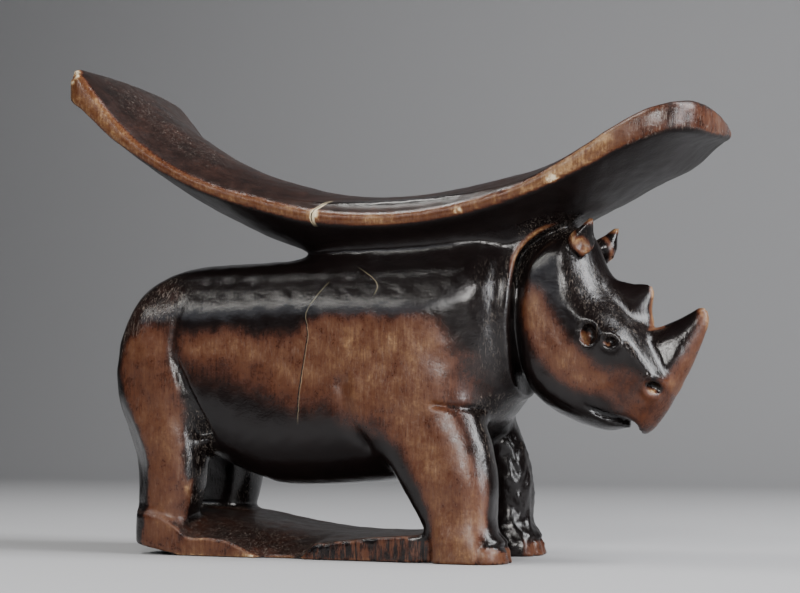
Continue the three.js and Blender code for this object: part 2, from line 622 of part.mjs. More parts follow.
// A closed surface of triangles round the negative part of the form, one point in each cell.
function surface() {
  const grid = sample();
  const { values, origin, counts, strides, corners } = grid;
  tidySheets(grid);
  const vertexOf = new Int32Array(values.length).fill(-1);
  const points = [];
  eachCrossedCell(grid, (cell, pattern, place) => {
    const point = [0, 0, 0];
    let crossings = 0;
    for (const [a, b] of EDGES) {
      const from = values[cell + corners[a]];
      const to = values[cell + corners[b]];
      if ((from < 0) !== (to < 0)) {
        const t = from / (from - to);
        for (let axis = 0; axis < 3; axis += 1) {
          point[axis] += CORNERS[a][axis] + t * (CORNERS[b][axis] - CORNERS[a][axis]);
        }
        crossings += 1;
      }
    }
    vertexOf[cell] = points.length;
    points.push(place.map((n, axis) => origin[axis] + (n + point[axis] / crossings) * CELL));
  });
  const triangles = [];
  const [nx, ny, nz] = counts;
  for (let i = 1; i < nx - 1; i += 1) {
    for (let j = 1; j < ny - 1; j += 1) {
      for (let k = 1; k < nz - 1; k += 1) {
        const cell = i * strides[0] + j * strides[1] + k;
        const inside = values[cell] < 0;
        for (let axis = 0; axis < 3; axis += 1) {
          if (inside !== values[cell + strides[axis]] < 0) {
            const u = strides[(axis + 1) % 3];
            const v = strides[(axis + 2) % 3];
            const ring = [cell - u - v, cell - v, cell, cell - u].map((c) => vertexOf[c]);
            if (!inside) ring.reverse();
            triangles.push([ring[0], ring[1], ring[2]], [ring[0], ring[2], ring[3]]);
          }
        }
      }
    }
  }
  return { points: points.map(settle), triangles };
}

// Moves a point along the steepest direction onto the surface of the form.
function settle([x, y, z]) {
  const step = SLOPE_STEP;
  const value = form(x, y, z);
  const slope = [
    (form(x + step, y, z) - form(x - step, y, z)) / (2 * step),
    (form(x, y + step, z) - form(x, y - step, z)) / (2 * step),
    (form(x, y, z + step) - form(x, y, z - step)) / (2 * step),
  ];
  const steepness = Math.max(LEAST_STEEPNESS, slope[0] ** 2 + slope[1] ** 2 + slope[2] ** 2);
  const move = Math.min(LONGEST_MOVE, Math.max(-LONGEST_MOVE, value / steepness));
  return [x - slope[0] * move, y - slope[1] * move, z - slope[2] * move];
}

// Ten numbers that give the sum of squared distances from a point to a set of planes.
function addPlane(error, n, d, weight) {
  const plane = [n.x, n.y, n.z, d];
  let slot = 0;
  for (let i = 0; i < 4; i += 1) {
    for (let j = i; j < 4; j += 1) {
      error[slot] += plane[i] * plane[j] * weight;
      slot += 1;
    }
  }
}

function errorAt(e, x, y, z) {
  return e[0] * x * x + 2 * e[1] * x * y + 2 * e[2] * x * z + 2 * e[3] * x + e[4] * y * y
    + 2 * e[5] * y * z + 2 * e[6] * y + e[7] * z * z + 2 * e[8] * z + e[9];
}

// The place with the least error for a merged pair, or else the middle of the pair.
function bestPlace(e, a, b) {
  const middle = [0, 1, 2].map((k) => (a[k] + b[k]) / 2);
  const matrix = new THREE.Matrix3().set(e[0], e[1], e[2], e[1], e[4], e[5], e[2], e[5], e[7]);
  const size = e[0] + e[4] + e[7];
  if (Math.abs(matrix.determinant()) < NEARLY_FLAT * size ** 3) return middle;
  const place = new THREE.Vector3(-e[3], -e[6], -e[8]).applyMatrix3(matrix.invert()).toArray();
  const apart = Math.hypot(a[0] - b[0], a[1] - b[1], a[2] - b[2]);
  const moved = Math.hypot(place[0] - middle[0], place[1] - middle[1], place[2] - middle[2]);
  return moved < apart ? place : middle;
}

// A list kept in order of cost, cheapest first.
class Queue {
  constructor() {
    this.items = [];
  }

  push(item) {
    const { items } = this;
    let i = items.length;
    items.push(item);
    while (i > 0) {
      const parent = (i - 1) >> 1;
      if (items[parent].cost <= item.cost) break;
      items[i] = items[parent];
      i = parent;
    }
    items[i] = item;
  }

  pop() {
    const { items } = this;
    const first = items[0];
    const item = items.pop();
    if (items.length > 0) {
      let i = 0;
      for (;;) {
        let child = 2 * i + 1;
        if (child >= items.length) break;
        if (child + 1 < items.length && items[child + 1].cost < items[child].cost) child += 1;
        if (items[child].cost >= item.cost) break;
        items[i] = items[child];
        i = child;
      }
      items[i] = item;
    }
    return first;
  }
}

// Merges the pairs of points that change the surface least until few enough triangles are left.
function reduce({ points, triangles }, wanted) {
  const faces = triangles.map((t) => t.slice());
  const around = points.map(() => new Set());
  const errors = points.map(() => new Float64Array(10));
  const version = new Int32Array(points.length);
  const corner = new THREE.Triangle();
  const normal = new THREE.Vector3();
  const setCorner = (t, at) => {
    corner.a.fromArray(at(t[0]));
    corner.b.fromArray(at(t[1]));
    corner.c.fromArray(at(t[2]));
    return corner;
  };
  faces.forEach((t, f) => {
    setCorner(t, (p) => points[p]).getNormal(normal);
    const area = corner.getArea();
    t.forEach((p) => {
      around[p].add(f);
      addPlane(errors[p], normal, -normal.dot(corner.a), area);
    });
  });
  const neighbours = (p) => {
    const found = new Set();
    around[p].forEach((f) => faces[f].forEach((q) => found.add(q)));
    found.delete(p);
    return found;
  };
  const queue = new Queue();
  const offer = (a, b) => {
    const error = errors[a].map((v, i) => v + errors[b][i]);
    const place = bestPlace(error, points[a], points[b]);
    const apart = (points[a][0] - points[b][0]) ** 2 + (points[a][1] - points[b][1]) ** 2
      + (points[a][2] - points[b][2]) ** 2;
    const cost = errorAt(error, ...place) + SHORT_EDGE_FIRST * apart;
    queue.push({ cost, a, b, place, error, stamp: version[a] + version[b] });
  };
  points.forEach((_, p) => neighbours(p).forEach((q) => {
    if (p < q) offer(p, q);
  }));
  const turns = (p, other, place) => {
    for (const f of around[p]) {
      const t = faces[f];
      if (!t.includes(other)) {
        const before = setCorner(t, (q) => points[q]).getNormal(new THREE.Vector3());
        const after = setCorner(t, (q) => (q === p ? place : points[q])).getNormal(normal);
        if (before.dot(after) < LEAST_TURN || corner.getArea() < LEAST_AREA) return true;
      }
    }
    return false;
  };
  const gone = new Uint8Array(points.length);
  let left = faces.length;
  while (left > wanted && queue.items.length > 0) {
    const { a, b, place, error, stamp } = queue.pop();
    if (gone[a] || gone[b] || stamp !== version[a] + version[b]) continue;
    const nearA = neighbours(a);
    const shared = [...neighbours(b)].filter((q) => nearA.has(q));
    if (shared.length !== 2 || turns(a, b, place) || turns(b, a, place)) continue;
    for (const f of [...around[b]]) {
      const t = faces[f];
      if (t.includes(a)) {
        t.forEach((q) => around[q].delete(f));
        faces[f] = null;
        left -= 1;
      } else {
        t[t.indexOf(b)] = a;
        around[a].add(f);
      }
    }
    gone[b] = 1;
    points[a] = place;
    errors[a] = error;
    version[a] += 1;
    neighbours(a).forEach((q) => {
      version[q] += 1;
    });
    neighbours(a).forEach((q) => {
      neighbours(q).forEach((r) => {
        if (r === a || q < r) offer(q, r);
      });
    });
  }
  const kept = new Map();
  const place = (p) => {
    if (!kept.has(p)) kept.set(p, kept.size);
    return kept.get(p);
  };
  const index = faces.filter(Boolean).flatMap((t) => t.map(place));
  return { position: [...kept.keys()].flatMap((p) => points[p]), index };
}

const wasm = await Module();
wasm.setup();

function solid(position, index) {
  return new wasm.Manifold(new wasm.Mesh({
    numProp: 3,
    vertProperties: Float32Array.from(position),
    triVerts: Uint32Array.from(index),
  }));
}

// The block of air under the resting plane, which leaves the underside flat.
function ground() {
  const { length, width, depth } = GROUND;
  const block = new THREE.BoxGeometry(length, width, depth);
  block.translate(0, 0, -depth / 2);
  block.deleteAttribute('normal');
  block.deleteAttribute('uv');
  const merged = mergeVertices(block);
  return solid(merged.attributes.position.array, merged.index.array);
}

// The finished surface, with the middle of its box at X = 0 and Y = 0.
function geometryOf(manifold) {
  const { numProp, vertProperties, triVerts } = manifold.getMesh();
  const geometry = new THREE.BufferGeometry();
  const position = [];
  for (let i = 0; i < vertProperties.length; i += numProp) {
    position.push(vertProperties[i], vertProperties[i + 1], vertProperties[i + 2]);
  }
  geometry.setAttribute('position', new THREE.Float32BufferAttribute(position, 3));
  geometry.setIndex(Array.from(triVerts));
  geometry.computeBoundingBox();
  const middle = geometry.boundingBox.getCenter(new THREE.Vector3());
  geometry.translate(-middle.x, -middle.y, 0);
  geometry.computeVertexNormals();
  return geometry;
}

const reduced = reduce(surface(), TRIANGLES);
const headrest = new THREE.Mesh(
  geometryOf(solid(reduced.position, reduced.index).subtract(ground())),
  new THREE.MeshStandardMaterial({ color: 0x3a2216, roughness: 0.4, metalness: 0 }),
);
headrest.name = 'headrest';

const part = new THREE.Group();
part.name = 'rhinoceros_headrest';
part.add(headrest);

export default part;
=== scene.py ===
"""The visible surface of a headrest carved as a standing rhinoceros, its wood, and a plain studio.

The carving is described in millimetres, X forward, Y to the animal's left and Z up, as a form that
is negative inside the wood. It is drawn on a fine grid, with the cuts, tool marks and wear.
"""
import itertools
import math

import bpy
import numpy as np
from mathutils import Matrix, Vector


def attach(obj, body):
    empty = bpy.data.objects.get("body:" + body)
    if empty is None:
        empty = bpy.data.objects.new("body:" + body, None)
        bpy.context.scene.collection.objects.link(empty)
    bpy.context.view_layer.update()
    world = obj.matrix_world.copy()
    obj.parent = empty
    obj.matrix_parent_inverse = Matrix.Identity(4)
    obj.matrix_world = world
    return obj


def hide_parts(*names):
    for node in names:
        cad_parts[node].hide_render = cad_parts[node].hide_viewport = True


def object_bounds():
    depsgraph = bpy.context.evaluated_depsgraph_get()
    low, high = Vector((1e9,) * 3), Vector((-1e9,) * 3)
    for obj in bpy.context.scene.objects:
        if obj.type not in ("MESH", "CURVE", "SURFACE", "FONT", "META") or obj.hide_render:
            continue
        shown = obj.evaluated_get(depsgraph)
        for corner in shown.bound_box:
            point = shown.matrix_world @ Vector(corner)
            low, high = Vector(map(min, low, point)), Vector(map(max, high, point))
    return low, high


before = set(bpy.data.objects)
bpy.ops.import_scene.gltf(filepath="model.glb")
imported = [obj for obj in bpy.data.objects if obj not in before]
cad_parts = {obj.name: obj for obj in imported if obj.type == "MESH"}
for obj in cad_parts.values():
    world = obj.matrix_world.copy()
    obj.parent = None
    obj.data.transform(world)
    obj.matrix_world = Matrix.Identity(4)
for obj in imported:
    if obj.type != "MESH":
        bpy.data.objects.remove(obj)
cad_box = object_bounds()

MM = 0.001

# Grid: stretches of (start, end, spacing) along each axis.
GRID_X = [(-123, 36, 1.35), (36, 117.5, 0.95)]
GRID_Y = [(-39, 39, 1.15)]
GRID_Z = [(-6, 38, 1.1), (38, 112, 1.05), (112, 174, 1.3)]

# Saddle, measured along X: height of the rim, thickness of the rim, rise of the top above the
# rim, depth of the underside below the rim, and half the width.
RIM_TOP = [
    (-121, 173), (-117, 172), (-113, 170.8), (-109, 168), (-103, 161), (-97, 153.6),
    (-89.5, 146), (-82, 139.8), (-68, 131), (-55, 125.3), (-41, 121), (-19, 115.3), (3, 112.9),
    (24, 113.4), (42, 116.3), (55, 119.8), (65, 124), (76, 129.8), (87, 135.8), (95, 139.4),
    (103, 141.6), (110, 142.4), (118, 142.4),
]
RIM_THICKNESS = [
    (-121, 12), (-110, 12.3), (-103, 10.3), (-94, 7.2), (-83, 4.9), (-68, 3.7), (-41, 3.9),
    (-20, 4.1), (0, 3.8), (41, 3.7), (55, 3.9), (68, 5.1), (78, 6.7), (87, 7.6), (95, 8.6),
    (103, 8.4), (118, 8),
]
CROWN_RISE = [
    (-121, 0.5), (-110, 2), (-98, 7), (-85, 10), (-63, 10), (-45, 8.8), (-27, 8.5), (7, 9),
    (26, 9.8), (44, 9.5), (58, 8), (72, 6), (88, 4), (101, 2), (115, 0.5),
]
KEEL_DEPTH = [
    (-121, 0.5), (-104, 1), (-92, 4), (-80, 6), (-68, 7.2), (-58, 8), (-44, 9.6), (-30, 10.3),
    (0, 9.5), (41, 8.5), (55, 8), (65, 7.5), (80, 7), (95, 5.5), (106, 2.5), (118, 1),
]
SADDLE_HALF_WIDTH = [(-120, 36), (-100, 35), (-60, 32), (0, 29.5), (50, 30), (90, 32), (118, 31)]
REAR_END = {"x": -118, "skew": 0.03, "bow": 0.0035, "near": 5, "far": 5, "slant": 0.8}
FRONT_END = {"x": 112.3, "bow": 0.0038, "corner": 13}
# The front end is thinner and lower towards the left.
FRONT_WORN = {"thinner": 0.55, "lower": 2.2, "spans": [("y", -24, 26), ("x", 94, 108)]}
RIGHT_EDGE = -31
RIM_ROUND = 1.6
SADDLE_EDGE_ROUND = 2.2
SADDLE_REACH = 1.3

# Body: outline seen from the side, and half its width along X.
BODY_OUTLINE = [
    (-102.5, 68), (-100.5, 80), (-93.5, 91), (-83, 97.5), (-70, 100.5), (-45, 101), (-15, 102),
    (15, 104), (38, 104), (48, 92), (49, 76), (47, 61), (40, 48), (24, 35.5), (6, 27),
    (-15, 24.4), (-38, 23.8), (-47, 25.8), (-60, 30.5), (-82, 42), (-97, 55),
]
BODY_HALF_WIDTH = [
    (-110, 26), (-90, 29.5), (-60, 30), (-30, 29.5), (0, 30), (20, 30), (36, 27), (52, 23),
]
BODY_ROUNDING = [(45, 27), (84, 19)]
BODY_SQUARENESS = 2.6
BACK_EDGE = {"y": 29.6, "z": 84.5, "slant": 27, "radius": 3}

# Column between back and saddle, measured up Z.
COLUMN_FRONT = [(55, 40), (82, 45), (98, 50), (104, 54), (108, 58), (112, 62), (118, 68)]
COLUMN_REAR = [(55, -30), (90, -31), (99, -27.5), (103, -25), (107, -26.5), (112, -31), (118, -38)]
COLUMN_HALF_WIDTH = [(55, 16), (80, 20), (98, 19.5), (104, 18.5), (110, 20), (118, 24)]
COLUMN_BOTTOM = 60
COLUMN_TOP = 116
COLUMN_SQUARENESS = 3.5
COLUMN_ROUNDING = 19

# Legs: side outlines, then half the thickness and the distance from the middle, up Z.
HIND_OUTLINE = [
    (-86, 88), (-96, 76), (-99.5, 60), (-96.5, 42), (-93, 26), (-90.5, 12), (-88, 3), (-87, -6),
    (-68, -6), (-69, 5), (-68.5, 13), (-65.5, 26), (-66, 40), (-70, 54), (-74, 68), (-78, 82),
]
HIND_HALF_THICKNESS = [(-4, 9.5), (10, 9), (30, 9.5), (50, 11), (70, 14), (88, 15)]
HIND_OFFSET = [(-4, 20), (30, 20), (50, 19), (70, 14), (88, 10)]
FORE_OUTLINE = [
    (0, 72), (-10, 62), (-11, 52), (-6, 43), (2, 35.5), (9, 27.5), (15.5, 17), (20.5, 8), (21.5, 1),
    (21.5, -6), (46.5, -6), (46.5, 2), (45.6, 7), (42.5, 11.5), (42.8, 24), (40.5, 37), (35.5, 50),
    (30, 64), (18, 74),
]
FORE_HALF_THICKNESS = [
    (-4, 10.5), (8, 10.2), (12, 9.3), (26, 9.5), (45, 10.5), (60, 13), (76, 13),
]
FORE_OFFSET = [(-4, 21), (30, 21), (45, 19.5), (60, 15), (76, 10)]
LEG_ROUNDING = 10
LEG_SQUARENESS = 2.5
LEFT_FORELEG_SET_BACK = 3
# Upright flats on the legs: the outer faces, where the flats meet them, their turn and the round
# between.
HIND_OUTER = 29.3
HIND_REAR_FLAT = [(6, -83.5), (18, -82.3), (32, -82), (44, -87), (52, -91.5), (63, -95), (75, -104)]
HIND_FRONT_FLAT = [
    (4, -67), (19, -66.5), (35, -68.2), (53, -68.4), (60, -70), (69, -72.3), (84, -72),
]
HIND_FLAT = {"turn": 45, "round": 1.6}
FORE_OUTER = 30.5
FORE_FLAT_LINE = [(2, 47), (12, 43), (24, 40), (32, 37), (42, 32.5), (52, 29), (66, 30)]
FORE_FLAT = {"turn": 35, "round": 5}

# Plate between the feet: height of its top along X, and how far its right edge is worn down.
PLATE_TOP = [
    (-95, 15), (-65, 13.3), (-49, 10.5), (-29, 8), (-10, 7.4), (5, 7.9), (22, 8.8), (30, 8.8),
]
PLATE_WEAR = [
    (-90, 0), (-76, 2), (-70, 4), (-66, 6.6), (-58, 5.7), (-50, 5.2), (-45, 6.4), (-40, 8),
    (-34, 8.2), (-25, 7.2), (-22, 6.6), (-20, 4.4), (-18, 2.5), (-14, 1.6), (-6, 0.6), (4, 0),
    (25, 0),
]
PLATE = {"x": -33, "half_length": 56, "half_width": 30, "corner": 8, "edge": 1.2, "worn": 28}
UNDERSIDE = [(-92, 4.6), (-80, 2.4), (-70, 0.3), (-64, -1.5), (-58, -3)]

# Head, horns and ears.
HEAD_OUTLINE = [
    (56, 108), (66, 108), (70.5, 103.5), (73, 97), (76.5, 89), (83, 80.5), (89, 74), (94, 65),
    (97, 57.5), (95, 51.5), (91.5, 46), (88, 42), (85, 40.8), (81.5, 43), (75, 42), (69, 43),
    (62, 45.5), (54, 50), (47, 57), (42.5, 66), (40, 76), (41, 90), (46, 102),
]
HEAD_AXIS = {"x": 60, "z": 100, "dx": 0.454, "dz": -0.891}
HEAD_HALF_WIDTH = [(-10, 13), (0, 15), (15, 17.3), (30, 18.3), (42, 16.3), (54, 12), (64, 8)]
JAW_ROUNDING = [(0, 13), (15, 14), (30, 14), (42, 12), (54, 8.5), (64, 6)]
JAW_SQUARENESS = 2.3
FACE_ROUNDING = [(0, 9.5), (10, 12.5), (20, 13.5), (29, 10.5), (37, 8), (47, 6), (64, 4)]
FACE_SQUARENESS = 1.6
FACE_SPAN = (-9, 7)
HORNS = {
    "front_horn": {
        "outline": [(86, 73), (92, 75.2), (97.5, 77.4), (101.5, 79.5), (104, 80.7), (106, 80.4),
                    (106.9, 77.8), (106.2, 73.6), (103.4, 67), (100.2, 60.6), (96.6, 55.2),
                    (92, 53.5), (86, 60)],
        "axis": {"x": 90, "z": 66, "dx": 0.79, "dz": 0.61},
        "half_width": [(-4, 8.5), (4, 7.5), (10, 5.5), (16, 3.5), (22, 1.8)],
        "rounding": 6, "squareness": 2,
    },
    "rear_horn": {
        "outline": [(71, 96), (75, 92.2), (78, 90.4), (82.5, 89.3), (86.5, 88.8), (88.7, 88),
                    (89.2, 85), (88.5, 80), (88.8, 75.5), (84, 73), (74, 83)],
        "axis": {"x": 78, "z": 80, "dx": 0.77, "dz": 0.64},
        "half_width": [(-6, 9), (2, 6.5), (8, 3.6), (14, 1.8)],
        "rounding": 5, "squareness": 1.8,
    },
}
# Parts of the ears: foot, tip and the radius at each.
EAR = ((69.2, 12.6, 102.2), (72.9, 14, 109), 4.1, 0.8)
EAR_ROOT = ((69.2, 12.6, 102.2), (68.8, 12.6, 98.2), 4.1, 1.2)
EAR_HOLLOW = ((71.7, 16, 101.4), (75.4, 16.6, 110), 3.6, 1.3)
EAR_SWELL = 1.0
# Pits at the eyes, beside them, and at the nostrils.
EYE = {"centre": (72.9, 18.2, 72.4), "radii": (2.4, 3.6, 3.3)}
SECOND_PIT = {"centre": (79.8, 17.6, 69.8), "radii": (1.9, 2.2, 1.4)}
NOSTRIL = {"centre": (92.2, 11.5, 55.2), "radii": (2.5, 3.0, 1.7), "tilt": -40}
PITS = (EYE, SECOND_PIT, NOSTRIL)
# Raised rims round two of the pits in the side view, and where they set in from the middle.
RINGS = [
    {"x": 79.8, "z": 69.8, "radius": 3.0, "height": 0.26, "spread": 0.8},
    {"x": 92.2, "z": 55.2, "radius": 3.4, "height": 0.38, "spread": 1.0},
]
RING_SPAN = (7, 9)
MOUTH_OUTLINE = [
    (70.5, 50), (76, 48), (82, 45.6), (85.2, 43.6), (84, 39), (81.5, 42.2), (76, 45.2),
    (72, 47.6),
]
MOUTH_CORE = [(70, 13.5), (76, 8), (80, 3), (82, -2)]
COLLAR = {"height": 1.5, "distance": 3.6, "spread": 2.4, "spans": [("z", 45, 53), ("z", 108, 100)]}
COLLAR_GROOVE = {"depth": 2.2, "spread": 2.0}

# Cut lines seen from the side: behind the foreleg, the fold above it, the seam of the forefoot.
CREASES = [
    {"line": [(-7.5, 57), (-6.5, 51), (-4, 42.5), (0, 38)], "depth": 1.1, "spread": 2.6},
    {"line": [(24.5, 50.3), (30.3, 49.5), (37.5, 48.9)], "depth": 1.2, "spread": 0.9},
    {"line": [(40.3, -3), (40.2, 6)], "depth": 0.7, "spread": 0.7},
]
CREASE_SPAN = (12, 18)
# Thigh line up Z: its place, its depth, and how far the hollow runs back from it.
THIGH_LINE = [(38, -59.5), (48.9, -63.2), (60.3, -68.5), (68.6, -72), (83.3, -70.6), (90, -69.5)]
THIGH_DEPTH = [(38, 4.5), (48.9, 3.2), (60.3, 1.7), (68.6, 0.9), (80, 0.6), (87, 0)]
THIGH_HOLLOW = [(38, 9), (48.9, 5.5), (60.3, 3), (68.6, 1.6), (90, 1.5)]
THIGH_FRONT = 1.6
THIGH_SPAN = (38, 42)

# Tool marks: upright cuts on the plate's right face, lumps on the left foreleg, toes.
PLATE_CUTS = {
    "depth": 0.4, "periods": (3.1, 4.7), "sway": 0.8,
    "spans": [("x", -20, -18), ("x", 24, 22), ("z", 8, 6.5), ("y", -26, -28)],
}
LUMPS = {
    "depth": 0.42, "periods": (8.3, 6.1, 12.7),
    "spans": [("y", 4, 8), ("x", 26, 32), ("x", 58, 52), ("z", 46, 38)],
}
RIPPLE = {"depth": 0.09, "periods": (11.3, 8.9, 13.7)}
TOES = {
    "places": (-19, 16.5, 23.5), "depth": 0.9, "spread": 1.0,
    "spans": [("x", 40, 42), ("z", 11, 8)],
}
NAIL_SEAM = {"z": 5.2, "depth": 0.8, "spread": 0.7, "spans": [("x", 40.5, 41.5)]}
# Chips: centre and radii.
CHIPS = [
    ((-113.8, -37, 170.5), (4.6, 7, 5)),
    ((33, -31.3, 112.2), (1.3, 1.6, 1.2)),
    ((-18.2, -31.5, 115.5), (0.9, 1.8, 2.6)),
    ((66, -32, 119.8), (1.6, 1.3, 1.0)),
]

# Cracks and scratches: (height, place along X), their innermost Y, the half width of the dark gap,
# and the width and strength of the pale border.
CRACKS = {
    "crack": {"inside": -19, "gap": 0.15, "border": 0.38, "pale": 0.15, "line": [
        (44, -24.2), (52, -23.8), (59, -22.9), (67, -21.5), (75, -20.4), (81, -21.4), (86, -18.6),
        (92, -14.2)]},
    "split": {"inside": -22, "gap": 0.16, "border": 1.00, "pale": 0.95, "line": [
        (109.5, -18.3), (112, -18.9), (115, -18.4), (118, -15.8), (121, -13)]},
    "scratch": {"inside": -17, "gap": 0, "border": 0.25, "pale": 0.25, "line": [
        (85.5, 3), (89.8, 3.8), (93.3, -0.1), (96.5, -5.6)]},
}
CRACK_FADE = 3

# Radii of the edges of what is cut in, and of the hollows where two forms meet.
CUT_EDGE = {"ears": 0.5, "pits": 0.5, "chips": 0.5, "mouth": 0.6, "underside": 0.8}
FILLET = {
    "legs": 4.5, "plate": 3, "column": 6, "back": 5, "horns": 1.8, "ears": 0.9, "head": 1.4,
}


def join(a, b, radius):
    h = np.clip(0.5 + 0.5 * (b - a) / radius, 0, 1)
    return b + (a - b) * h - radius * h * (1 - h)


def cut(a, b, radius):
    return -join(-a, b, radius)


def common(a, b, radius):
    return -join(-a, -b, radius)


def ease(at, start, end):
    """Goes smoothly from 0 to 1 as a value goes from start to end."""
    t = np.clip((at - start) / (end - start), 0, 1)
    return t * t * (3 - 2 * t)


def within(spans, **at):
    """The product of smooth steps, each given as (what, start, end)."""
    return math.prod(ease(at[what], start, end) for what, start, end in spans)


def blend(a, b, share):
    return a + (b - a) * share


def curve(knots, at):
    """A smooth curve through (place, value) knots, held constant beyond both ends."""
    places = np.array([knot[0] for knot in knots], float)
    values = np.array([knot[1] for knot in knots], float)
    slopes = np.gradient(values, places)
    at = np.clip(at, places[0], places[-1])
    i = np.clip(np.searchsorted(places, at) - 1, 0, len(knots) - 2)
    span = places[i + 1] - places[i]
    t = (at - places[i]) / span
    s = 1 - t
    ends = (1 + 2 * t) * s * s * values[i] + t * t * (3 - 2 * t) * values[i + 1]
    return ends + span * (t * s * s * slopes[i] - t * t * s * slopes[i + 1])


def outline(points, steps=4):
    """A closed smooth outline through its corner points, as a polygon."""
    p = np.array(points, float)
    a, b, c, d = (np.roll(p, 1 - k, axis=0) for k in range(4))
    rows = []
    for step in range(steps):
        t = step / steps
        rows.append(0.5 * (2 * b + (c - a) * t + (2 * a - 5 * b + 4 * c - d) * t * t
                           + (3 * b - a - 3 * c + d) * t ** 3))
    return np.stack(rows, axis=1).reshape(-1, 2)


def outline_distance(x, z, polygon):
    """Distance in the side view to a closed outline, negative inside."""
    x, z = np.broadcast_arrays(x, z)
    best = np.full(x.shape, np.inf)
    inside = np.zeros(x.shape, bool)
    for (ax, az), (bx, bz) in zip(np.roll(polygon, 1, axis=0), polygon):
        ex, ez = bx - ax, bz - az
        wx, wz = x - ax, z - az
        t = np.clip((wx * ex + wz * ez) / (ex * ex + ez * ez), 0, 1)
        best = np.minimum(best, (wx - ex * t) ** 2 + (wz - ez * t) ** 2)
        if az != bz:
            inside ^= ((az > z) != (bz > z)) & (x < ex * wz / ez + ax)
    return np.where(inside, -1, 1) * np.sqrt(best)


def line_distance(x, z, line):
    """Distance in the side view to an open line."""
    best = np.full(np.broadcast(x, z).shape, np.inf)
    for (ax, az), (bx, bz) in zip(line, line[1:]):
        ex, ez = bx - ax, bz - az
        t = np.clip(((x - ax) * ex + (z - az) * ez) / (ex * ex + ez * ez), 0, 1)
        best = np.minimum(best, np.hypot(x - ax - ex * t, z - az - ez * t))
    return best


def carved(side, y, half, rounding, power):
    """The form left when a side outline is cut through a block and its edges are rounded off."""
    across = np.abs(y) / half
    edge = np.maximum(0, 1 + side / rounding)
    return ((across ** power + edge ** power) ** (1 / power) - 1) * np.minimum(rounding, half)


def rounded_corner(along, across, radius):
    reach = np.hypot(np.maximum(along + radius, 0), np.maximum(across + radius, 0))
    return reach + np.minimum(np.maximum(along, across) + radius, 0) - radius


def ellipsoid(x, y, z, centre, radii, tilt=0):
    """An ellipsoid, tilted in the side view by some degrees."""
    c, s = math.cos(math.radians(tilt)), math.sin(math.radians(tilt))
    dx, dz = x - centre[0], z - centre[2]
    p = [dx * c + dz * s, y - centre[1], dz * c - dx * s]
    near = np.sqrt(sum((v / r) ** 2 for v, r in zip(p, radii)))
    far = np.sqrt(sum((v / r ** 2) ** 2 for v, r in zip(p, radii)))
    return near * (near - 1) / np.maximum(far, 1e-6)


def taper(x, y, z, foot, tip, foot_radius, tip_radius):
    """A straight limb with round section, tapering from foot to tip."""
    e = np.subtract(tip, foot)
    p = [x - foot[0], y - foot[1], z - foot[2]]
    t = np.clip(sum(v * w for v, w in zip(p, e)) / (e @ e), 0, 1)
    reach = np.sqrt(sum((v - w * t) ** 2 for v, w in zip(p, e)))
    return reach - (foot_radius + (tip_radius - foot_radius) * t)


def along(axis, x, z):
    return (x - axis["x"]) * axis["dx"] + (z - axis["z"]) * axis["dz"]


OUTLINES = {
    "body": outline(BODY_OUTLINE),
    "hind": outline(HIND_OUTLINE),
    "fore": outline(FORE_OUTLINE),
    "head": outline(HEAD_OUTLINE),
    "mouth": outline(MOUTH_OUTLINE),
    **{name: outline(horn["outline"]) for name, horn in HORNS.items()},
}


def side_view(x, z):
    """Everything that depends only on the side view."""
    view = {name: outline_distance(x, z, polygon) for name, polygon in OUTLINES.items()}
    view["fore_left"] = outline_distance(x + LEFT_FORELEG_SET_BACK, z, OUTLINES["fore"])
    view["crease"] = np.max([
        crease["depth"] * np.exp(-(line_distance(x, z, crease["line"]) / crease["spread"]) ** 2)
        for crease in CREASES
    ], axis=0)
    ahead = x - curve(THIGH_LINE, z)
    hollow = np.where(ahead > 0, np.exp(-(ahead / THIGH_FRONT) ** 2),
                      np.clip(1 + ahead / curve(THIGH_HOLLOW, z), 0, 1))
    view["crease"] = np.maximum(
        view["crease"], curve(THIGH_DEPTH, z) * hollow * ease(z, *THIGH_SPAN))
    return view


def saddle(x, y, z):
    half = curve(SADDLE_HALF_WIDTH, x)
    rim = curve(RIM_TOP, x)
    across = np.minimum(SADDLE_REACH, np.abs(y) / half)
    dome = 1 - across ** 2
    upright = 1 / np.hypot(1, (curve(RIM_TOP, x + 1) - curve(RIM_TOP, x - 1)) / 2)
    worn = within(FRONT_WORN["spans"], x=x, y=y)
    thickness = curve(RIM_THICKNESS, x) * (1 - FRONT_WORN["thinner"] * worn)
    top = (z - rim + FRONT_WORN["lower"] * worn - curve(CROWN_RISE, x) * dome) * upright
    bottom = (rim - thickness - curve(KEEL_DEPTH, x) * dome - z) * upright
    side = np.abs(y) - half
    end = REAR_END["x"] + REAR_END["skew"] * (y - RIGHT_EDGE) + REAR_END["bow"] * y * y
    rear = REAR_END["slant"] * (end - x)
    front = x - FRONT_END["x"] + FRONT_END["bow"] * y * y
    rear_radius = np.where(y > 0, REAR_END["far"], REAR_END["near"])
    plan = np.maximum(
        rounded_corner(rear, side, rear_radius), rounded_corner(front, side, FRONT_END["corner"]))
    return common(common(top, bottom, RIM_ROUND), plan, SADDLE_EDGE_ROUND)


def column(x, y, z):
    front = curve(COLUMN_FRONT, z)
    rear = curve(COLUMN_REAR, z)
    power = COLUMN_SQUARENESS
    lengthwise = np.abs(x - (front + rear) / 2) / ((front - rear) / 2)
    across = np.abs(y) / curve(COLUMN_HALF_WIDTH, z)
    section = ((lengthwise ** power + across ** power) ** (1 / power) - 1) * COLUMN_ROUNDING
    return np.maximum(section, np.maximum(z - COLUMN_TOP, COLUMN_BOTTOM - z))


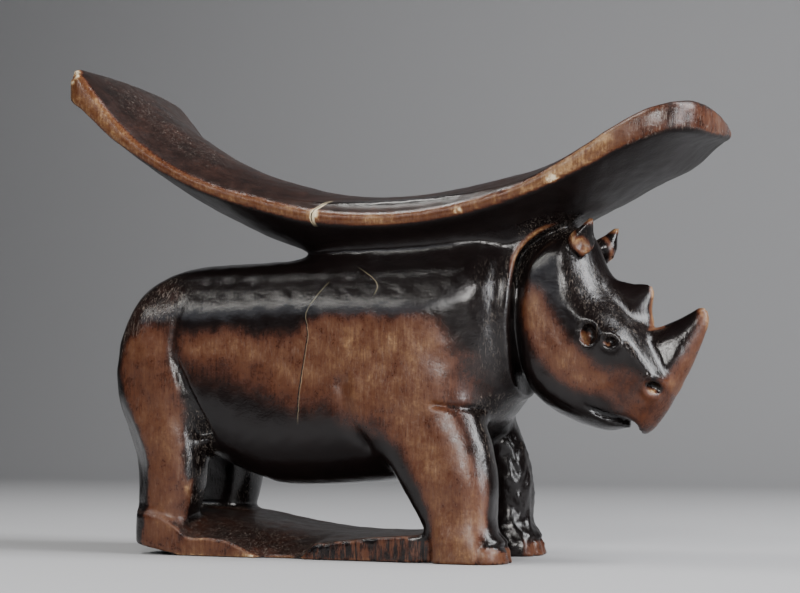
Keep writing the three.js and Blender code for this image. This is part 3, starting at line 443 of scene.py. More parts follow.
def plate(x, y, z):
    worn = np.where(y < 0, curve(PLATE_WEAR, x) * np.clip(-y / PLATE["worn"], 0, 1) ** 2, 0)
    length = np.abs(x - PLATE["x"]) - PLATE["half_length"]
    plan = rounded_corner(length, np.abs(y) - PLATE["half_width"], PLATE["corner"])
    return common(z - curve(PLATE_TOP, x) + worn, plan, PLATE["edge"])


def legs(x, y, z, view):
    def limb(side, offset, half):
        return carved(side, np.abs(y) - curve(offset, z), curve(half, z), LEG_ROUNDING,
                      LEG_SQUARENESS)

    def flattened(form, beyond, outward, turn, round):
        """A limb with an upright flat cut along one side of its outer face."""
        angle = math.radians(turn)
        return common(form, beyond * math.sin(angle) + outward * math.cos(angle), round)

    hind_outward = np.abs(y) - HIND_OUTER
    hind = limb(view["hind"], HIND_OFFSET, HIND_HALF_THICKNESS)
    hind = flattened(hind, curve(HIND_REAR_FLAT, z) - x, hind_outward, **HIND_FLAT)
    hind = flattened(hind, x - curve(HIND_FRONT_FLAT, z), hind_outward, **HIND_FLAT)
    fore = limb(np.where(y > 0, view["fore_left"], view["fore"]), FORE_OFFSET,
                FORE_HALF_THICKNESS)
    ahead = x - curve(FORE_FLAT_LINE, z) + np.where(y > 0, LEFT_FORELEG_SET_BACK, 0)
    return np.minimum(hind, flattened(fore, ahead, np.abs(y) - FORE_OUTER, **FORE_FLAT))


def horns(x, y, z, view):
    forms = []
    for name, horn in HORNS.items():
        half = curve(horn["half_width"], along(horn["axis"], x, z))
        forms.append(carved(view[name], y, half, horn["rounding"], horn["squareness"]))
    return np.minimum(*forms)


def rings(x, z):
    """Raised rims round the small pits of the face."""
    raised = 0
    for ring in RINGS:
        reach = np.hypot(x - ring["x"], z - ring["z"])
        raised = raised + ring["height"] * np.exp(-((reach - ring["radius"]) / ring["spread"]) ** 2)
    return raised


def waves(x, y, z, periods):
    """An uneven pattern of soft waves between about -1 and 1, repeating over the periods."""
    a, b, c = (2 * math.pi / period for period in periods)
    return (np.sin(a * x + 1.3 * np.sin(b * z + 0.7)) * np.sin(b * y + 1.1 * np.sin(c * x))
            + np.sin(c * z + 1.7 * np.sin(a * y + 2.1) + 0.9 * np.sin(b * x))) / 2


def tool_marks(x, y, z):
    """Depth of the small uneven cuts left by the carver."""
    first, second = PLATE_CUTS["periods"]
    sway = PLATE_CUTS["sway"] * np.sin(2 * math.pi * x / second)
    cuts = 1 - np.abs(np.sin(math.pi * x / first + sway))
    lumps = waves(x, y, z, LUMPS["periods"])
    toes = sum(np.exp(-((y - place) / TOES["spread"]) ** 2) for place in TOES["places"])
    seam = np.exp(-((z - NAIL_SEAM["z"]) / NAIL_SEAM["spread"]) ** 2)
    marks = RIPPLE["depth"] * waves(x, y, z, RIPPLE["periods"])
    for mark, pattern in ((PLATE_CUTS, cuts), (LUMPS, lumps), (TOES, toes), (NAIL_SEAM, seam)):
        marks = marks + mark["depth"] * pattern * within(mark["spans"], x=x, y=y, z=z)
    return marks


def pieces(x, y, z, view):
    """Distances to the separate forms that the carving is joined from."""
    mirrored = np.abs(y)
    head_along = along(HEAD_AXIS, x, z)
    ahead = (HEAD_AXIS["z"] - z) * HEAD_AXIS["dx"] - (HEAD_AXIS["x"] - x) * -HEAD_AXIS["dz"]
    face = ease(ahead, *FACE_SPAN)
    half = curve(HEAD_HALF_WIDTH, head_along)
    jaw = carved(view["head"], y, half, curve(JAW_ROUNDING, head_along), JAW_SQUARENESS)
    front = carved(view["head"], y, half, curve(FACE_ROUNDING, head_along), FACE_SQUARENESS)
    body = carved(view["body"], y, curve(BODY_HALF_WIDTH, x), curve(BODY_ROUNDING, z),
                  BODY_SQUARENESS)
    slant = math.radians(BACK_EDGE["slant"])
    back_edge = (mirrored - BACK_EDGE["y"]) * math.cos(slant) \
        + (z - BACK_EDGE["z"]) * math.sin(slant)
    ear = join(taper(x, mirrored, z, *EAR), taper(x, mirrored, z, *EAR_ROOT), EAR_SWELL)
    ear = cut(ear, taper(x, mirrored, z, *EAR_HOLLOW), CUT_EDGE["ears"])
    return {
        "body": common(body, back_edge, BACK_EDGE["radius"]),
        "legs": legs(x, y, z, view),
        "plate": plate(x, y, z),
        "saddle": saddle(x, y, z),
        "column": column(x, y, z),
        "cheeks": blend(jaw, front, face),
        "horns": horns(x, y, z, view),
        "ears": ear,
    }


def form(x, y, z):
    """The whole carving as a distance: negative inside the wood."""
    view = side_view(x, z)
    mirrored = np.abs(y)
    piece = pieces(x, y, z, view)
    cheeks = piece["cheeks"]
    wood = join(piece["body"], piece["legs"], FILLET["legs"])
    wood = join(wood, piece["plate"], FILLET["plate"])
    wood = wood + view["crease"] * ease(mirrored, *CREASE_SPAN)
    upper = join(piece["saddle"], piece["column"], FILLET["column"])
    wood = join(wood, upper, FILLET["back"])
    collar = within(COLLAR["spans"], z=z)
    raised = np.exp(-((cheeks - COLLAR["distance"]) / COLLAR["spread"]) ** 2)
    wood = wood - COLLAR["height"] * raised * collar
    groove = np.exp(-(np.hypot(wood, cheeks) / COLLAR_GROOVE["spread"]) ** 2) * collar
    head = join(cheeks, piece["horns"], FILLET["horns"])
    head = head - rings(x, z) * ease(mirrored, *RING_SPAN)
    head = join(head, piece["ears"], FILLET["ears"])
    wood = join(wood, head, FILLET["head"])
    wood = wood + COLLAR_GROOVE["depth"] * groove
    for pit in PITS:
        wood = cut(wood, ellipsoid(x, mirrored, z, **pit), CUT_EDGE["pits"])
    mouth = common(view["mouth"], curve(MOUTH_CORE, x) - mirrored, CUT_EDGE["mouth"])
    wood = cut(wood, mouth, CUT_EDGE["mouth"])
    wood = wood + tool_marks(x, y, z)
    for chip in CHIPS:
        wood = cut(wood, ellipsoid(x, y, z, *chip), CUT_EDGE["chips"])
    return common(wood, np.maximum(curve(UNDERSIDE, x), 0) - z, CUT_EDGE["underside"])


def grid_places(stretches):
    places = [np.array([stretches[0][0]], float)]
    for start, end, spacing in stretches:
        count = round((end - start) / spacing)
        places.append(np.linspace(start, end, count + 1)[1:])
    return np.concatenate(places)


def surface(values, places):
    """A closed surface round the negative part of a field on a grid, one point in each cell."""
    inside = values < 0
    counts = np.array(values.shape)
    filled = sum(
        inside[a:counts[0] - 1 + a, b:counts[1] - 1 + b, c:counts[2] - 1 + c].astype(np.int8)
        for a in (0, 1) for b in (0, 1) for c in (0, 1))
    crossed = (filled > 0) & (filled < 8)
    cells = np.argwhere(crossed)
    number = np.full(crossed.shape, -1)
    number[crossed] = np.arange(len(cells))
    total = np.zeros((len(cells), 3))
    crossings = np.zeros(len(cells))
    for axis, u, v in itertools.product(range(3), (0, 1), (0, 1)):
        low = cells + np.insert((u, v), axis, 0)
        high = low + np.eye(3, dtype=int)[axis]
        start, end = values[tuple(low.T)], values[tuple(high.T)]
        hit = (start < 0) != (end < 0)
        t = start[hit] / (start[hit] - end[hit])
        point = np.stack([places[k][low[hit, k]] for k in range(3)], axis=1)
        point[:, axis] += t * (places[axis][high[hit, axis]] - point[:, axis])
        total[hit] += point
        crossings[hit] += 1
    quads = []
    for axis in range(3):
        u, v = (axis + 1) % 3, (axis + 2) % 3
        edges = np.argwhere(np.diff(inside, axis=axis))
        edges = edges[(edges[:, u] > 0) & (edges[:, v] > 0)
                      & (edges[:, u] < counts[u] - 1) & (edges[:, v] < counts[v] - 1)]
        ring = []
        for du, dv in ((-1, -1), (0, -1), (0, 0), (-1, 0)):
            corner = edges.copy()
            corner[:, u] += du
            corner[:, v] += dv
            ring.append(number[tuple(corner.T)])
        quad = np.stack(ring, axis=1)
        outward = inside[tuple(edges.T)]
        quad[~outward] = quad[~outward][:, ::-1]
        quads.append(quad)
    return total / crossings[:, None], np.concatenate(quads)


def slope(points, step=0.05):
    """The form's value and its steepest direction at some points."""
    value = form(*points.T)
    rise = [form(*(points + step * np.eye(3)[k]).T) - value for k in range(3)]
    return value, np.stack(rise, axis=1) / step


def settle(points, longest=0.6, flattest=0.05):
    """Moves points along the steepest direction onto the surface of the form."""
    value, direction = slope(points)
    move = np.clip(value / np.maximum((direction ** 2).sum(axis=1), flattest), -longest, longest)
    return points - direction * move[:, None]


# Wear of the surface, from 0 where the black patina is whole to 1 where the wood is bare and 1.6
# where it is fresh. Each zone has its wear, the width of its soft edge by height, and its outline
# in the side view.
BODY_ZONES = [
    # The flank's brown is bare wood; its wide soft lower edge, darker towards the belly, is partly
    # painted shade.
    (0.86, [(20, 6), (34, 8), (44, 18), (55, 34), (64, 32), (70, 14), (76, 10), (90, 10)],
     [(-71, 77), (-65, 75.5), (-59, 77), (-53, 77.4), (-45, 75.5), (-35, 75.5), (-27, 75),
      (-20, 78.5), (-10, 80), (2, 80.5), (9, 78.3), (17, 79.2), (26, 78.5), (31, 72), (35, 66),
      (35, 57), (33, 50.5), (35.6, 42), (38.6, 33), (42.4, 24.5), (42, 13.5), (40.5, -6),
      (23.5, -6), (22.8, 13), (20, 24), (14.5, 32.8), (8, 40), (-4.9, 44), (-11.5, 47),
      (-25, 49.5), (-39, 56), (-49, 60), (-66, 64.5), (-71, 70)]),
    (0.69, [(0, 3), (60, 4), (72, 10), (80, 12)],
     [(-86, 80), (-93, 72), (-94.5, 63.4), (-91.5, 51.7), (-86.9, 44), (-83.8, 37), (-81.9, 32.2),
      (-82.3, 17.8), (-84, 6), (-86, -6), (-67, -6), (-68, 10), (-66.5, 18.7), (-68.2, 34.6),
      (-68.4, 53.3), (-70.1, 59.9), (-72.3, 68.6), (-70.5, 79)]),
    (0.76, [(0, 1.5), (10, 1.8)],
     [(-67, 8.5), (-58, 6.6), (-50, 5.6), (-44, 3.4), (-37, 0.4), (-38, -6), (-70, -6)]),
    (0.58, [(0, 4)], [(-40, 8), (-28, 7), (-22, 3), (-21, -6), (-44, -6), (-47, 2)]),
    (1.12, [(0, 2)], [(-70, 25), (-66, 27), (-66, 15), (-69, 10)]),
    (0.34, [(60, 10)], [(-99, 70), (-93, 90), (-80, 97), (-69, 91), (-73, 80), (-88, 72)]),
    (0.74, [(0, 1.5), (10, 2.5)], [(24, -6), (24, 8.6), (39.8, 8.6), (40.3, -6)]),
    (0.72, [(0, 0.8)], [(40.6, -6), (40.6, 4.8), (52, 4.8), (52, -6)]),
    (0.70, [(0, 1.2)], [(-19.5, -6), (-18.5, 3), (-10, 6.6), (23.4, 8.2), (23.4, -6)]),
]
HEAD_ZONES = [
    (0.86, [(50, 8), (60, 10), (75, 9), (100, 10)],
     [(52.4, 89), (48.9, 82.8), (50.7, 74.6), (55.4, 65.7), (61.5, 58.6), (68, 54.5), (76, 53.5),
      (80, 55.5), (79, 60), (74, 64), (68.5, 70), (63, 77.5), (57.5, 86)]),
    (0.52, [(50, 8), (60, 9)],
     [(70, 54), (80, 48), (90, 50), (91, 59), (84, 63), (76, 63)]),
    (0.55, [(40, 8), (60, 7)],
     [(76, 49.5), (82, 44.6), (87, 39.5), (97, 40), (98.5, 50), (97.5, 54.5), (88, 59), (84, 54)]),
    (0.74, [(50, 5), (74, 5), (80, 2)],
     [(95.5, 50), (93, 57), (96.5, 62), (100.5, 68), (103, 74), (103.4, 79), (103.4, 84),
      (110, 84), (110, 50)]),
    (1.14, [(50, 2)],
     [(101.6, 62), (104.6, 70), (105.6, 75.5), (103.6, 79), (103.6, 84), (112, 84), (112, 62)]),
    (0.95, [(70, 0.9)], [(88.3, 91), (88.2, 74), (93, 74), (93, 91)]),
]
EAR_ZONES = [
    (0.48, [(95, 2)], [(60, 95), (62, 108), (69, 111), (69.6, 108), (67.6, 103), (66.5, 95)]),
    (1.02, [(95, 2)], [(70, 107.5), (70, 113), (78, 113), (78, 107.5)]),
]
# Zones of pale scratches from handling, and over the face a painted sheen.
SCUFFS_AND_SHEEN_ZONES = [
    (1, [(60, 10)], [(-98, 68), (-93, 90), (-80, 98), (-68, 90), (-74, 80), (-88, 74)]),
    (1, [(0, 4)], [(-69, 18), (-69, 54), (-58, 44), (-60, 18)]),
    (0.4, [(60, 8)], [(38, 60), (38, 95), (47, 95), (44, 60)]),
    (0.8, [(60, 5)], [(45, 84), (44, 96), (52, 108), (70, 112), (70, 104), (56, 102), (48, 92)]),
    # Painted sheen: pale scratches over the face between the ear, eye and horns stand in for the
    # broad sheen of light there.
    (0.5, [(60, 6)], [(66, 100), (80, 84), (92, 71), (92, 62), (80, 67), (70, 77), (62, 90)]),
    (0.7, [(30, 3)], [(34, 54), (46, 54), (47, 30), (40, 30)]),
]
DARK_WEAR = 0.10
SADDLE_TOP_WEAR = 0.33
# Painted shade: the saddle's underside gets a darker level than its top.
SADDLE_UNDERSIDE_PAINTED_SHADE = 0.15
PLATE_TOP_WEAR = 0.38
COLLAR_WEAR = {
    "wear": 1.10, "spread": 1.1, "spans": [("z", 82, 100), ("z", 110, 107), ("side", 6, 12)],
}
# Painted light in the pits: the lit patch's level, how far ahead of and above each pit's centre its
# edge lies, in parts of the radii, and over what distances it comes in.
PIT_PAINTED_LIGHT = {"wear": 1.05, "ahead": 0.2, "above": 0.5, "over_x": 1, "over_z": 1.5}
RIM_WEAR = [
    (-121, 1.0), (-100, 0.92), (-80, 0.85), (-60, 0.78), (-30, 0.84), (30, 0.84), (50, 0.92),
    (62, 1.02), (80, 1.02), (88, 0.82), (96, 0.60), (106, 0.58), (118, 0.8),
]
EDGE_WEAR = {"body": 0.10, "head": 0.06, "saddle": 0.50, "plate": 0.75}
# How far the zones' edges wander, in waves of these periods.
WANDER = [(1.0, (29, 17, 31)), (0.4, (7.3, 5.9, 6.7))]
# Where each kind of wear sets in: distances, parts of the surface's normal, and places.
SKIN = (1.6, 0.4)
# How far out from each pit its painted light and shade reach.
PIT_LIGHT_AND_SHADE_SKIN = (0.5, 0)
CHIP_SKIN = (1.6, 0.6)
OUTWARD = (0.15, 0.6)
UPWARD = (0.2, 0.6)
DOWNWARD = (-0.1, -0.6)
TOE_FRONTS = [("forward", 0.2, 0.5), ("x", 38, 40), ("z", 13, 9)]
DARK_LEFT_FORELEG = [("x", 0, 4), ("y", 0, 4), ("z", 4, 8)]
DARKER_RIGHT_FORELEG = [("x", 5, 15), ("y", 0, -4), ("z", 50, 38), ("z", 12, 20)]
RIGHT_FORELEG_DARKER = 0.12
RIM_FACE = [("above_rim", 0.8, -0.2), ("above_foot", -0.6, 0.4), ("past_edge", -4, -1)]
FRONT_FACE = [("x", 100, 106), ("lean", 0.7, 0.3)]
REAR_FACE = [("x", -108, -112), ("lean", 0.7, 0.3)]
RIM_SCUFFS = (84, 92)
TOP_SCUFFS = {"amount": 0.6, "spans": [("x", -55, -67), ("from_right", 4, 18)]}
RIM_GLOSS = {"amount": 0.9, "span": (90, 80)}
STREAKED = [("x", -20, -18), ("skyward", 0.5, 0.2)]


def worn(x, z, zones):
    """The strongest wear of some zones at a place in the side view."""
    amounts = []
    for wear, edge, corners in zones:
        inside = -outline_distance(x, z, np.array(corners, float))
        width = np.interp(z, *np.transpose(edge))
        amounts.append(wear * ease(inside / width, -0.5, 0.5))
    return np.max(amounts, axis=0)


def face_edges(faces):
    pairs = np.concatenate([faces[:, [k, (k + 1) % 4]] for k in range(4)])
    return pairs[pairs[:, 0] < pairs[:, 1]]


def spread_out(values, pairs, rounds):
    """Averages values with those of the neighbouring points."""
    for _ in range(rounds):
        total = values.copy()
        count = np.ones(len(values))
        for a, b in (pairs.T, pairs.T[::-1]):
            total += np.bincount(a, values[b], len(values))
            count += np.bincount(a, None, len(values))
        values = total / count
    return values


def bulge(points, normals, pairs):
    """How sharply the surface turns outward at each point, in 1/mm, negative in hollows."""
    a, b = pairs.T
    apart = points[b] - points[a]
    turn = ((normals[b] - normals[a]) * apart).sum(axis=1) / (apart ** 2).sum(axis=1)
    count = np.bincount(a, None, len(points)) + np.bincount(b, None, len(points))
    total = np.bincount(a, turn, len(points)) + np.bincount(b, turn, len(points))
    return spread_out(total / count, pairs, rounds=2)


def paint_pit_light_and_shade(x, y, z, wear):
    """Painted light and shade in each pit: a pale lit patch on its lower rear wall, and painted
    shade, in the dark patina colour, over the rest of it.
    """
    for pit in PITS:
        inside = ease(ellipsoid(x, np.abs(y), z, **pit), *PIT_LIGHT_AND_SHADE_SKIN)
        ahead = pit["centre"][0] + PIT_PAINTED_LIGHT["ahead"] * pit["radii"][0] - x
        above = pit["centre"][2] + PIT_PAINTED_LIGHT["above"] * pit["radii"][2] - z
        lit = ease(ahead, 0, PIT_PAINTED_LIGHT["over_x"]) * ease(above, 0, PIT_PAINTED_LIGHT["over_z"])
        wear = blend(wear, PIT_PAINTED_LIGHT["wear"] * lit + DARK_WEAR, inside)
    return wear


def rim_face(x, y, z, lean):
    """How far a point of the saddle lies on its rim or on its upright ends."""
    above_rim = z - curve(RIM_TOP, x)
    face = within(RIM_FACE, above_rim=above_rim, above_foot=above_rim + curve(RIM_THICKNESS, x),
                  past_edge=np.abs(y) - curve(SADDLE_HALF_WIDTH, x))
    ends = np.maximum(within(FRONT_FACE, x=x, lean=lean), within(REAR_FACE, x=x, lean=lean))
    return np.maximum(face, ends)


def wear_marks(points, normals, pairs):
    """Numbers at each point that the wood's colours and gloss are made from."""
    x, y, z = points.T
    forward, leftward, skyward = normals.T
    place = {"x": x, "y": y, "z": z, "side": np.abs(y)}
    piece = pieces(x, y, z, side_view(x, z))
    on = {name: ease(distance, *SKIN) for name, distance in piece.items()}
    on_head = np.maximum(on["cheeks"], on["horns"])
    on_plate = on["plate"] * (1 - on["legs"])
    upward = ease(skyward, *UPWARD)
    plate_top = on["plate"] * upward
    outward = np.maximum(ease(leftward * np.sign(y), *OUTWARD),
                         within(TOE_FRONTS, forward=forward, **place))
    shift = sum(reach * waves(x, y, z, periods) for reach, periods in WANDER)
    rise = sum(reach * waves(z, x, y, periods) for reach, periods in WANDER)
    forelegs = 1 - on["legs"] * (
        within(DARK_LEFT_FORELEG, **place)
        + RIGHT_FORELEG_DARKER * within(DARKER_RIGHT_FORELEG, **place))

    body = worn(x + shift, z + rise, BODY_ZONES) * outward * forelegs
    wear = np.maximum(DARK_WEAR, body * (1 - on_head) * (1 - on["saddle"]))
    wear = np.maximum(wear, PLATE_TOP_WEAR * plate_top)
    wear = np.maximum(wear, worn(x + shift / 2, z + rise / 2, HEAD_ZONES) * on_head)
    # Painted light and shade in the pits.
    wear = paint_pit_light_and_shade(x, y, z, wear)
    ear = on["ears"] * (1 - on["cheeks"])
    wear = np.maximum(wear * (1 - ear), worn(x, z, EAR_ZONES) * ear)
    collar = np.exp(-((piece["cheeks"] - COLLAR["distance"]) / COLLAR_WEAR["spread"]) ** 2) \
        * within(COLLAR_WEAR["spans"], **place) * (1 - on_head)
    wear = np.maximum(wear, COLLAR_WEAR["wear"] * collar)

    face = rim_face(x, y, z, np.abs(skyward))
    # The saddle's top is lighter than its underside, which carries painted shade.
    top = blend(SADDLE_UNDERSIDE_PAINTED_SHADE, SADDLE_TOP_WEAR, upward)
    wear = blend(wear, np.maximum(top, curve(RIM_WEAR, x) * face), on["saddle"])

    edge_wear = blend(EDGE_WEAR["body"], EDGE_WEAR["head"], on_head)
    edge_wear = blend(edge_wear, EDGE_WEAR["saddle"], on["saddle"])
    edge_wear = blend(edge_wear, EDGE_WEAR["plate"], on_plate)
    scuffed_and_sheen = np.maximum(worn(x + shift, z + rise, SCUFFS_AND_SHEEN_ZONES), collar)
    from_right = y + curve(SADDLE_HALF_WIDTH, x)
    saddle_scuffs = face * ease(x, *RIM_SCUFFS) \
        + TOP_SCUFFS["amount"] * upward * within(TOP_SCUFFS["spans"], x=x, from_right=from_right)
    gloss = RIM_GLOSS["amount"] * face * ease(x, *RIM_GLOSS["span"])
    marks = {
        "wear": wear,
        "edge": bulge(points, normals, pairs),
        "edge_wear": edge_wear,
        "fresh": ease(np.min([ellipsoid(x, y, z, *chip) for chip in CHIPS], axis=0), *CHIP_SKIN),
        "scuffs_and_sheen": np.maximum(scuffed_and_sheen * (1 - on["saddle"]),
                             np.maximum(saddle_scuffs * on["saddle"], plate_top)),
        "dull": np.maximum(on["saddle"] * (1 - face), plate_top) - gloss * on["saddle"],
        "unpolished": ease(skyward, *DOWNWARD),
        "streaks": on_plate * within(STREAKED, x=x, skyward=skyward),
    }
    for name, run in CRACKS.items():
        from_ends = np.minimum(z - run["line"][0][0], run["line"][-1][0] - z)
        reach = ease(from_ends, 0, CRACK_FADE) * ease(run["inside"] - y, 0, CRACK_FADE)
        marks[name] = x - curve(run["line"], z)
        marks[name + "_reach"] = reach * (on["saddle"] if name == "split" else 1 - on["saddle"])
    return marks


def add_object(name, data):
    made = bpy.data.objects.new(name, data)
    bpy.context.scene.collection.objects.link(made)
    return made


def make_carving():
    places = [grid_places(stretches) for stretches in (GRID_X, GRID_Y, GRID_Z)]
    x, y, z = np.meshgrid(*places, indexing="ij", sparse=True)
    points, faces = surface(form(x, y, z), places)
    rounds = 2
    for _ in range(rounds):
        points = settle(points)
    _, direction = slope(points)
    normals = direction / np.linalg.norm(direction, axis=1, keepdims=True)
    marks = wear_marks(points, normals, face_edges(faces))
    middle = (points.min(axis=0) + points.max(axis=0)) / 2
    box_middle = (cad_box[0] + cad_box[1]) / 2
    shift = np.array([box_middle.x, box_middle.y, 0]) / MM - middle * (1, 1, 0)
    mesh = bpy.data.meshes.new("carving")
    mesh.from_pydata((points + shift) * MM, [], faces.tolist())
    mesh.polygons.foreach_set("use_smooth", np.ones(len(faces), bool))
    for name, values in marks.items():
        mesh.attributes.new(name, "FLOAT", "POINT").data.foreach_set(
            "value", values.astype(np.float32))
    return add_object("carved_headrest", mesh)


class Wood:
    """Builds a node material step by step."""

    def __init__(self, name):
        self.material = bpy.data.materials.new(name)
        self.material.use_nodes = True
        self.nodes = self.material.node_tree.nodes
        self.links = self.material.node_tree.links
        self.shader = self.nodes["Principled BSDF"]
        self.place = self.nodes.new("ShaderNodeMapping")
        self.place.inputs["Scale"].default_value = (1 / MM, 1 / MM, 1 / MM)
        source = self.nodes.new("ShaderNodeTexCoord")
        self.links.new(source.outputs["Object"], self.place.inputs["Vector"])

    def set(self, socket, value):
        if isinstance(value, bpy.types.NodeSocket):
            self.links.new(value, socket)
        else:
            socket.default_value = value

    def attribute(self, name):
        node = self.nodes.new("ShaderNodeAttribute")
        node.attribute_name = name
        return node.outputs["Fac"]

    def math(self, operation, a, b=0.0):
        node = self.nodes.new("ShaderNodeMath")
        node.operation = operation
        self.set(node.inputs[0], a)
        self.set(node.inputs[1], b)
        return node.outputs[0]

    def add(self, a, b):
        return self.math("ADD", a, b)

    def times(self, a, b):
        return self.math("MULTIPLY", a, b)

    def noise(self, size, detail, roughness, stretch=(1, 1, 1), distortion=0.0):
        """Noise with features of about the given size in millimetres."""
        scaled = self.nodes.new("ShaderNodeVectorMath")
        scaled.operation = "MULTIPLY"
        scaled.inputs[1].default_value = [1 / (size * s) for s in stretch]
        self.links.new(self.place.outputs[0], scaled.inputs[0])
        node = self.nodes.new("ShaderNodeTexNoise")
        node.inputs["Scale"].default_value = 1
        node.inputs["Detail"].default_value = detail
        node.inputs["Roughness"].default_value = roughness
        node.inputs["Distortion"].default_value = distortion
        self.links.new(scaled.outputs[0], node.inputs["Vector"])
        return node.outputs["Fac"]

    def ramp(self, value, low, high, start=0.0, end=1.0):
        """Goes smoothly from start to end as a value goes from low to high."""
        node = self.nodes.new("ShaderNodeMapRange")
        node.interpolation_type = "SMOOTHSTEP"
        for name, number in (("From Min", low), ("From Max", high), ("To Min", start),
                             ("To Max", end)):
            node.inputs[name].default_value = number
        self.set(node.inputs["Value"], value)
        return node.outputs["Result"]

    def mix(self, factor, a, b):
        node = self.nodes.new("ShaderNodeMix")
        node.data_type = "RGBA"
        self.set(node.inputs["Factor"], factor)
        for socket, value in ((node.inputs["A"], a), (node.inputs["B"], b)):
            self.set(socket, (*value, 1) if isinstance(value, tuple) else value)
        return node.outputs["Result"]

    def colour_ramp(self, value, stops, scale):
        """Colours by value, with the stops' places divided by the scale to fit between 0 and 1."""
        node = self.nodes.new("ShaderNodeValToRGB")
        marks = node.color_ramp.elements
        while len(marks) < len(stops):
            marks.new(0.5)
        for mark, (place, _) in zip(marks, stops):
            mark.position = place / scale
        for mark, (_, colour) in zip(marks, stops):
            mark.color = (*colour, 1)
        self.links.new(self.math("DIVIDE", value, scale), node.inputs["Fac"])
        return node.outputs["Color"]

    def centred(self, value, amount):
        return self.times(self.math("SUBTRACT", value, 0.5), amount)

    def varied(self, noise, amounts):
        """The sum of some noises by their amounts, each swinging round 0."""
        value = 0.0
        for name, amount in amounts.items():
            value = self.add(value, self.centred(noise[name], amount))
        return value

    def bump(self, height, depth):
        """Adds relief of the given depth in millimetres to the shader's normal."""
        node = self.nodes.new("ShaderNodeBump")
        node.inputs["Distance"].default_value = depth * MM
        node.inputs["Strength"].default_value = 1
        self.links.new(height, node.inputs["Height"])
        if self.shader.inputs["Normal"].is_linked:
            self.links.new(self.shader.inputs["Normal"].links[0].from_socket,
                           node.inputs["Normal"])
        self.links.new(node.outputs["Normal"], self.shader.inputs["Normal"])


# Colours of the wood by wear, which also carries painted light and shade, then of the scuffs and
# the face's painted sheen, and of the cracks' borders and gaps.
WOOD_COLOURS = [
    (0.00, (0.0038, 0.0026, 0.0027)), (0.22, (0.0075, 0.0044, 0.0040)),
    (0.38, (0.0210, 0.0090, 0.0066)), (0.52, (0.0440, 0.0140, 0.0076)),
    (0.68, (0.0790, 0.0250, 0.0102)), (0.84, (0.1030, 0.0392, 0.0165)),
    (1.00, (0.1480, 0.0690, 0.0300)), (1.25, (0.3300, 0.1940, 0.0900)),
    (1.60, (0.7200, 0.6100, 0.4200)),
]
FRESHEST = 1.6
SCUFF_AND_SHEEN_COLOUR = (0.30, 0.25, 0.21)
PALE_COLOUR = (0.62, 0.52, 0.34)
CRACK_COLOUR = (0.006, 0.004, 0.004)

# Noises: size of their features in millimetres, detail, roughness, stretch and distortion.
NOISES = {
    "blotches": (16, 5, 0.6),
    "mottle": (4.5, 6, 0.65),
    "fine": (1.3, 4, 0.7),
    "grain": (0.8, 3, 0.6, (1, 1, 9), 0.3),
    "scratches": (0.8, 5, 0.75, (1, 1.5, 5), 1.5),
    "pores": (0.55, 2, 0.5, (1, 1, 2)),
    "streaks": (1.1, 4, 0.7, (1, 1, 9), 0.4),
}
# How far the noises move the wear, which they do more where there is more of it.
WEAR_SWING = {"blotches": 1.1, "mottle": 0.9, "fine": 0.4, "grain": 0.5}
SWING_LEAST = 0.08
SWING_BY_WEAR = 0.95
EDGE_SWING = 0.35
CRACK_SWING = {"fine": 0.5, "mottle": 0.9}
# Ramps: low and high of what drives them, then the start and end that they give.
PORE_DARKNESS = (0.38, 0.31, 0, 0.14)
STREAK_DARKNESS = (0.35, 0.65, 0, 0.62)
RUBBED_EDGE = (0.12, 0.6, 0, 1)
DARK_HOLLOW = (-0.12, -0.5, 0, 0.35)
FRESH_WOOD = (0.35, 0.6, 0.35, 0.75)
HANDLED = (0.4, 0.9, 0, 0.3)
SCRATCHED = (0.52, 0.70, 0, 1)
SCUFF_AND_SHEEN_STRENGTH = 0.62
ROUGHNESS_BY_WEAR = (0.2, 1.0, 0.20, 0.39)
ROUGHER = {"dull": 0.16, "mottle": 0.22, "scuff_and_sheen": 0.15}
REFLECTION_BELOW = (0, 1, 0.5, 0.16)
REFRACTION = 1.46
RELIEF = {"fine": 0.08, "grain": 0.05, "mottle": 0.10}
# Cracks, in widths of the gap or border: the border's middle, the full part of it, and the end of
# the gap's soft edge. The border breaks up by noise, from faint at low to full at high.
BORDER_MIDDLE = 1.5
BORDER_CORE = 0.6
GAP_EDGE = 1.6
BORDER_BREAKS = {"low": 0.36, "high": 0.5, "start": 0.2}


def wear_level(wood, noise):
    """The wear at each place of the skin, with the painted light and shade that it carries, its
    unevenness, rubbed edges and dark hollows.
    """
    wear = wood.attribute("wear")
    swing = wood.add(wood.times(wear, SWING_BY_WEAR), SWING_LEAST)
    level = wood.add(wear, wood.times(wood.varied(noise, WEAR_SWING), swing))
    level = wood.math("SUBTRACT", level, wood.ramp(noise["pores"], *PORE_DARKNESS))
    dark = wood.times(wood.ramp(noise["streaks"], *STREAK_DARKNESS), wood.attribute("streaks"))
    level = wood.math("SUBTRACT", level, dark)
    edge = wood.add(wood.attribute("edge"), wood.centred(noise["fine"], EDGE_SWING))
    rubbed = wood.times(wood.ramp(edge, *RUBBED_EDGE), wood.attribute("edge_wear"))
    level = wood.math("SUBTRACT", wood.add(level, rubbed), wood.ramp(edge, *DARK_HOLLOW))
    fresh = wood.times(wood.attribute("fresh"), wood.ramp(noise["fine"], *FRESH_WOOD))
    return wood.add(level, fresh)


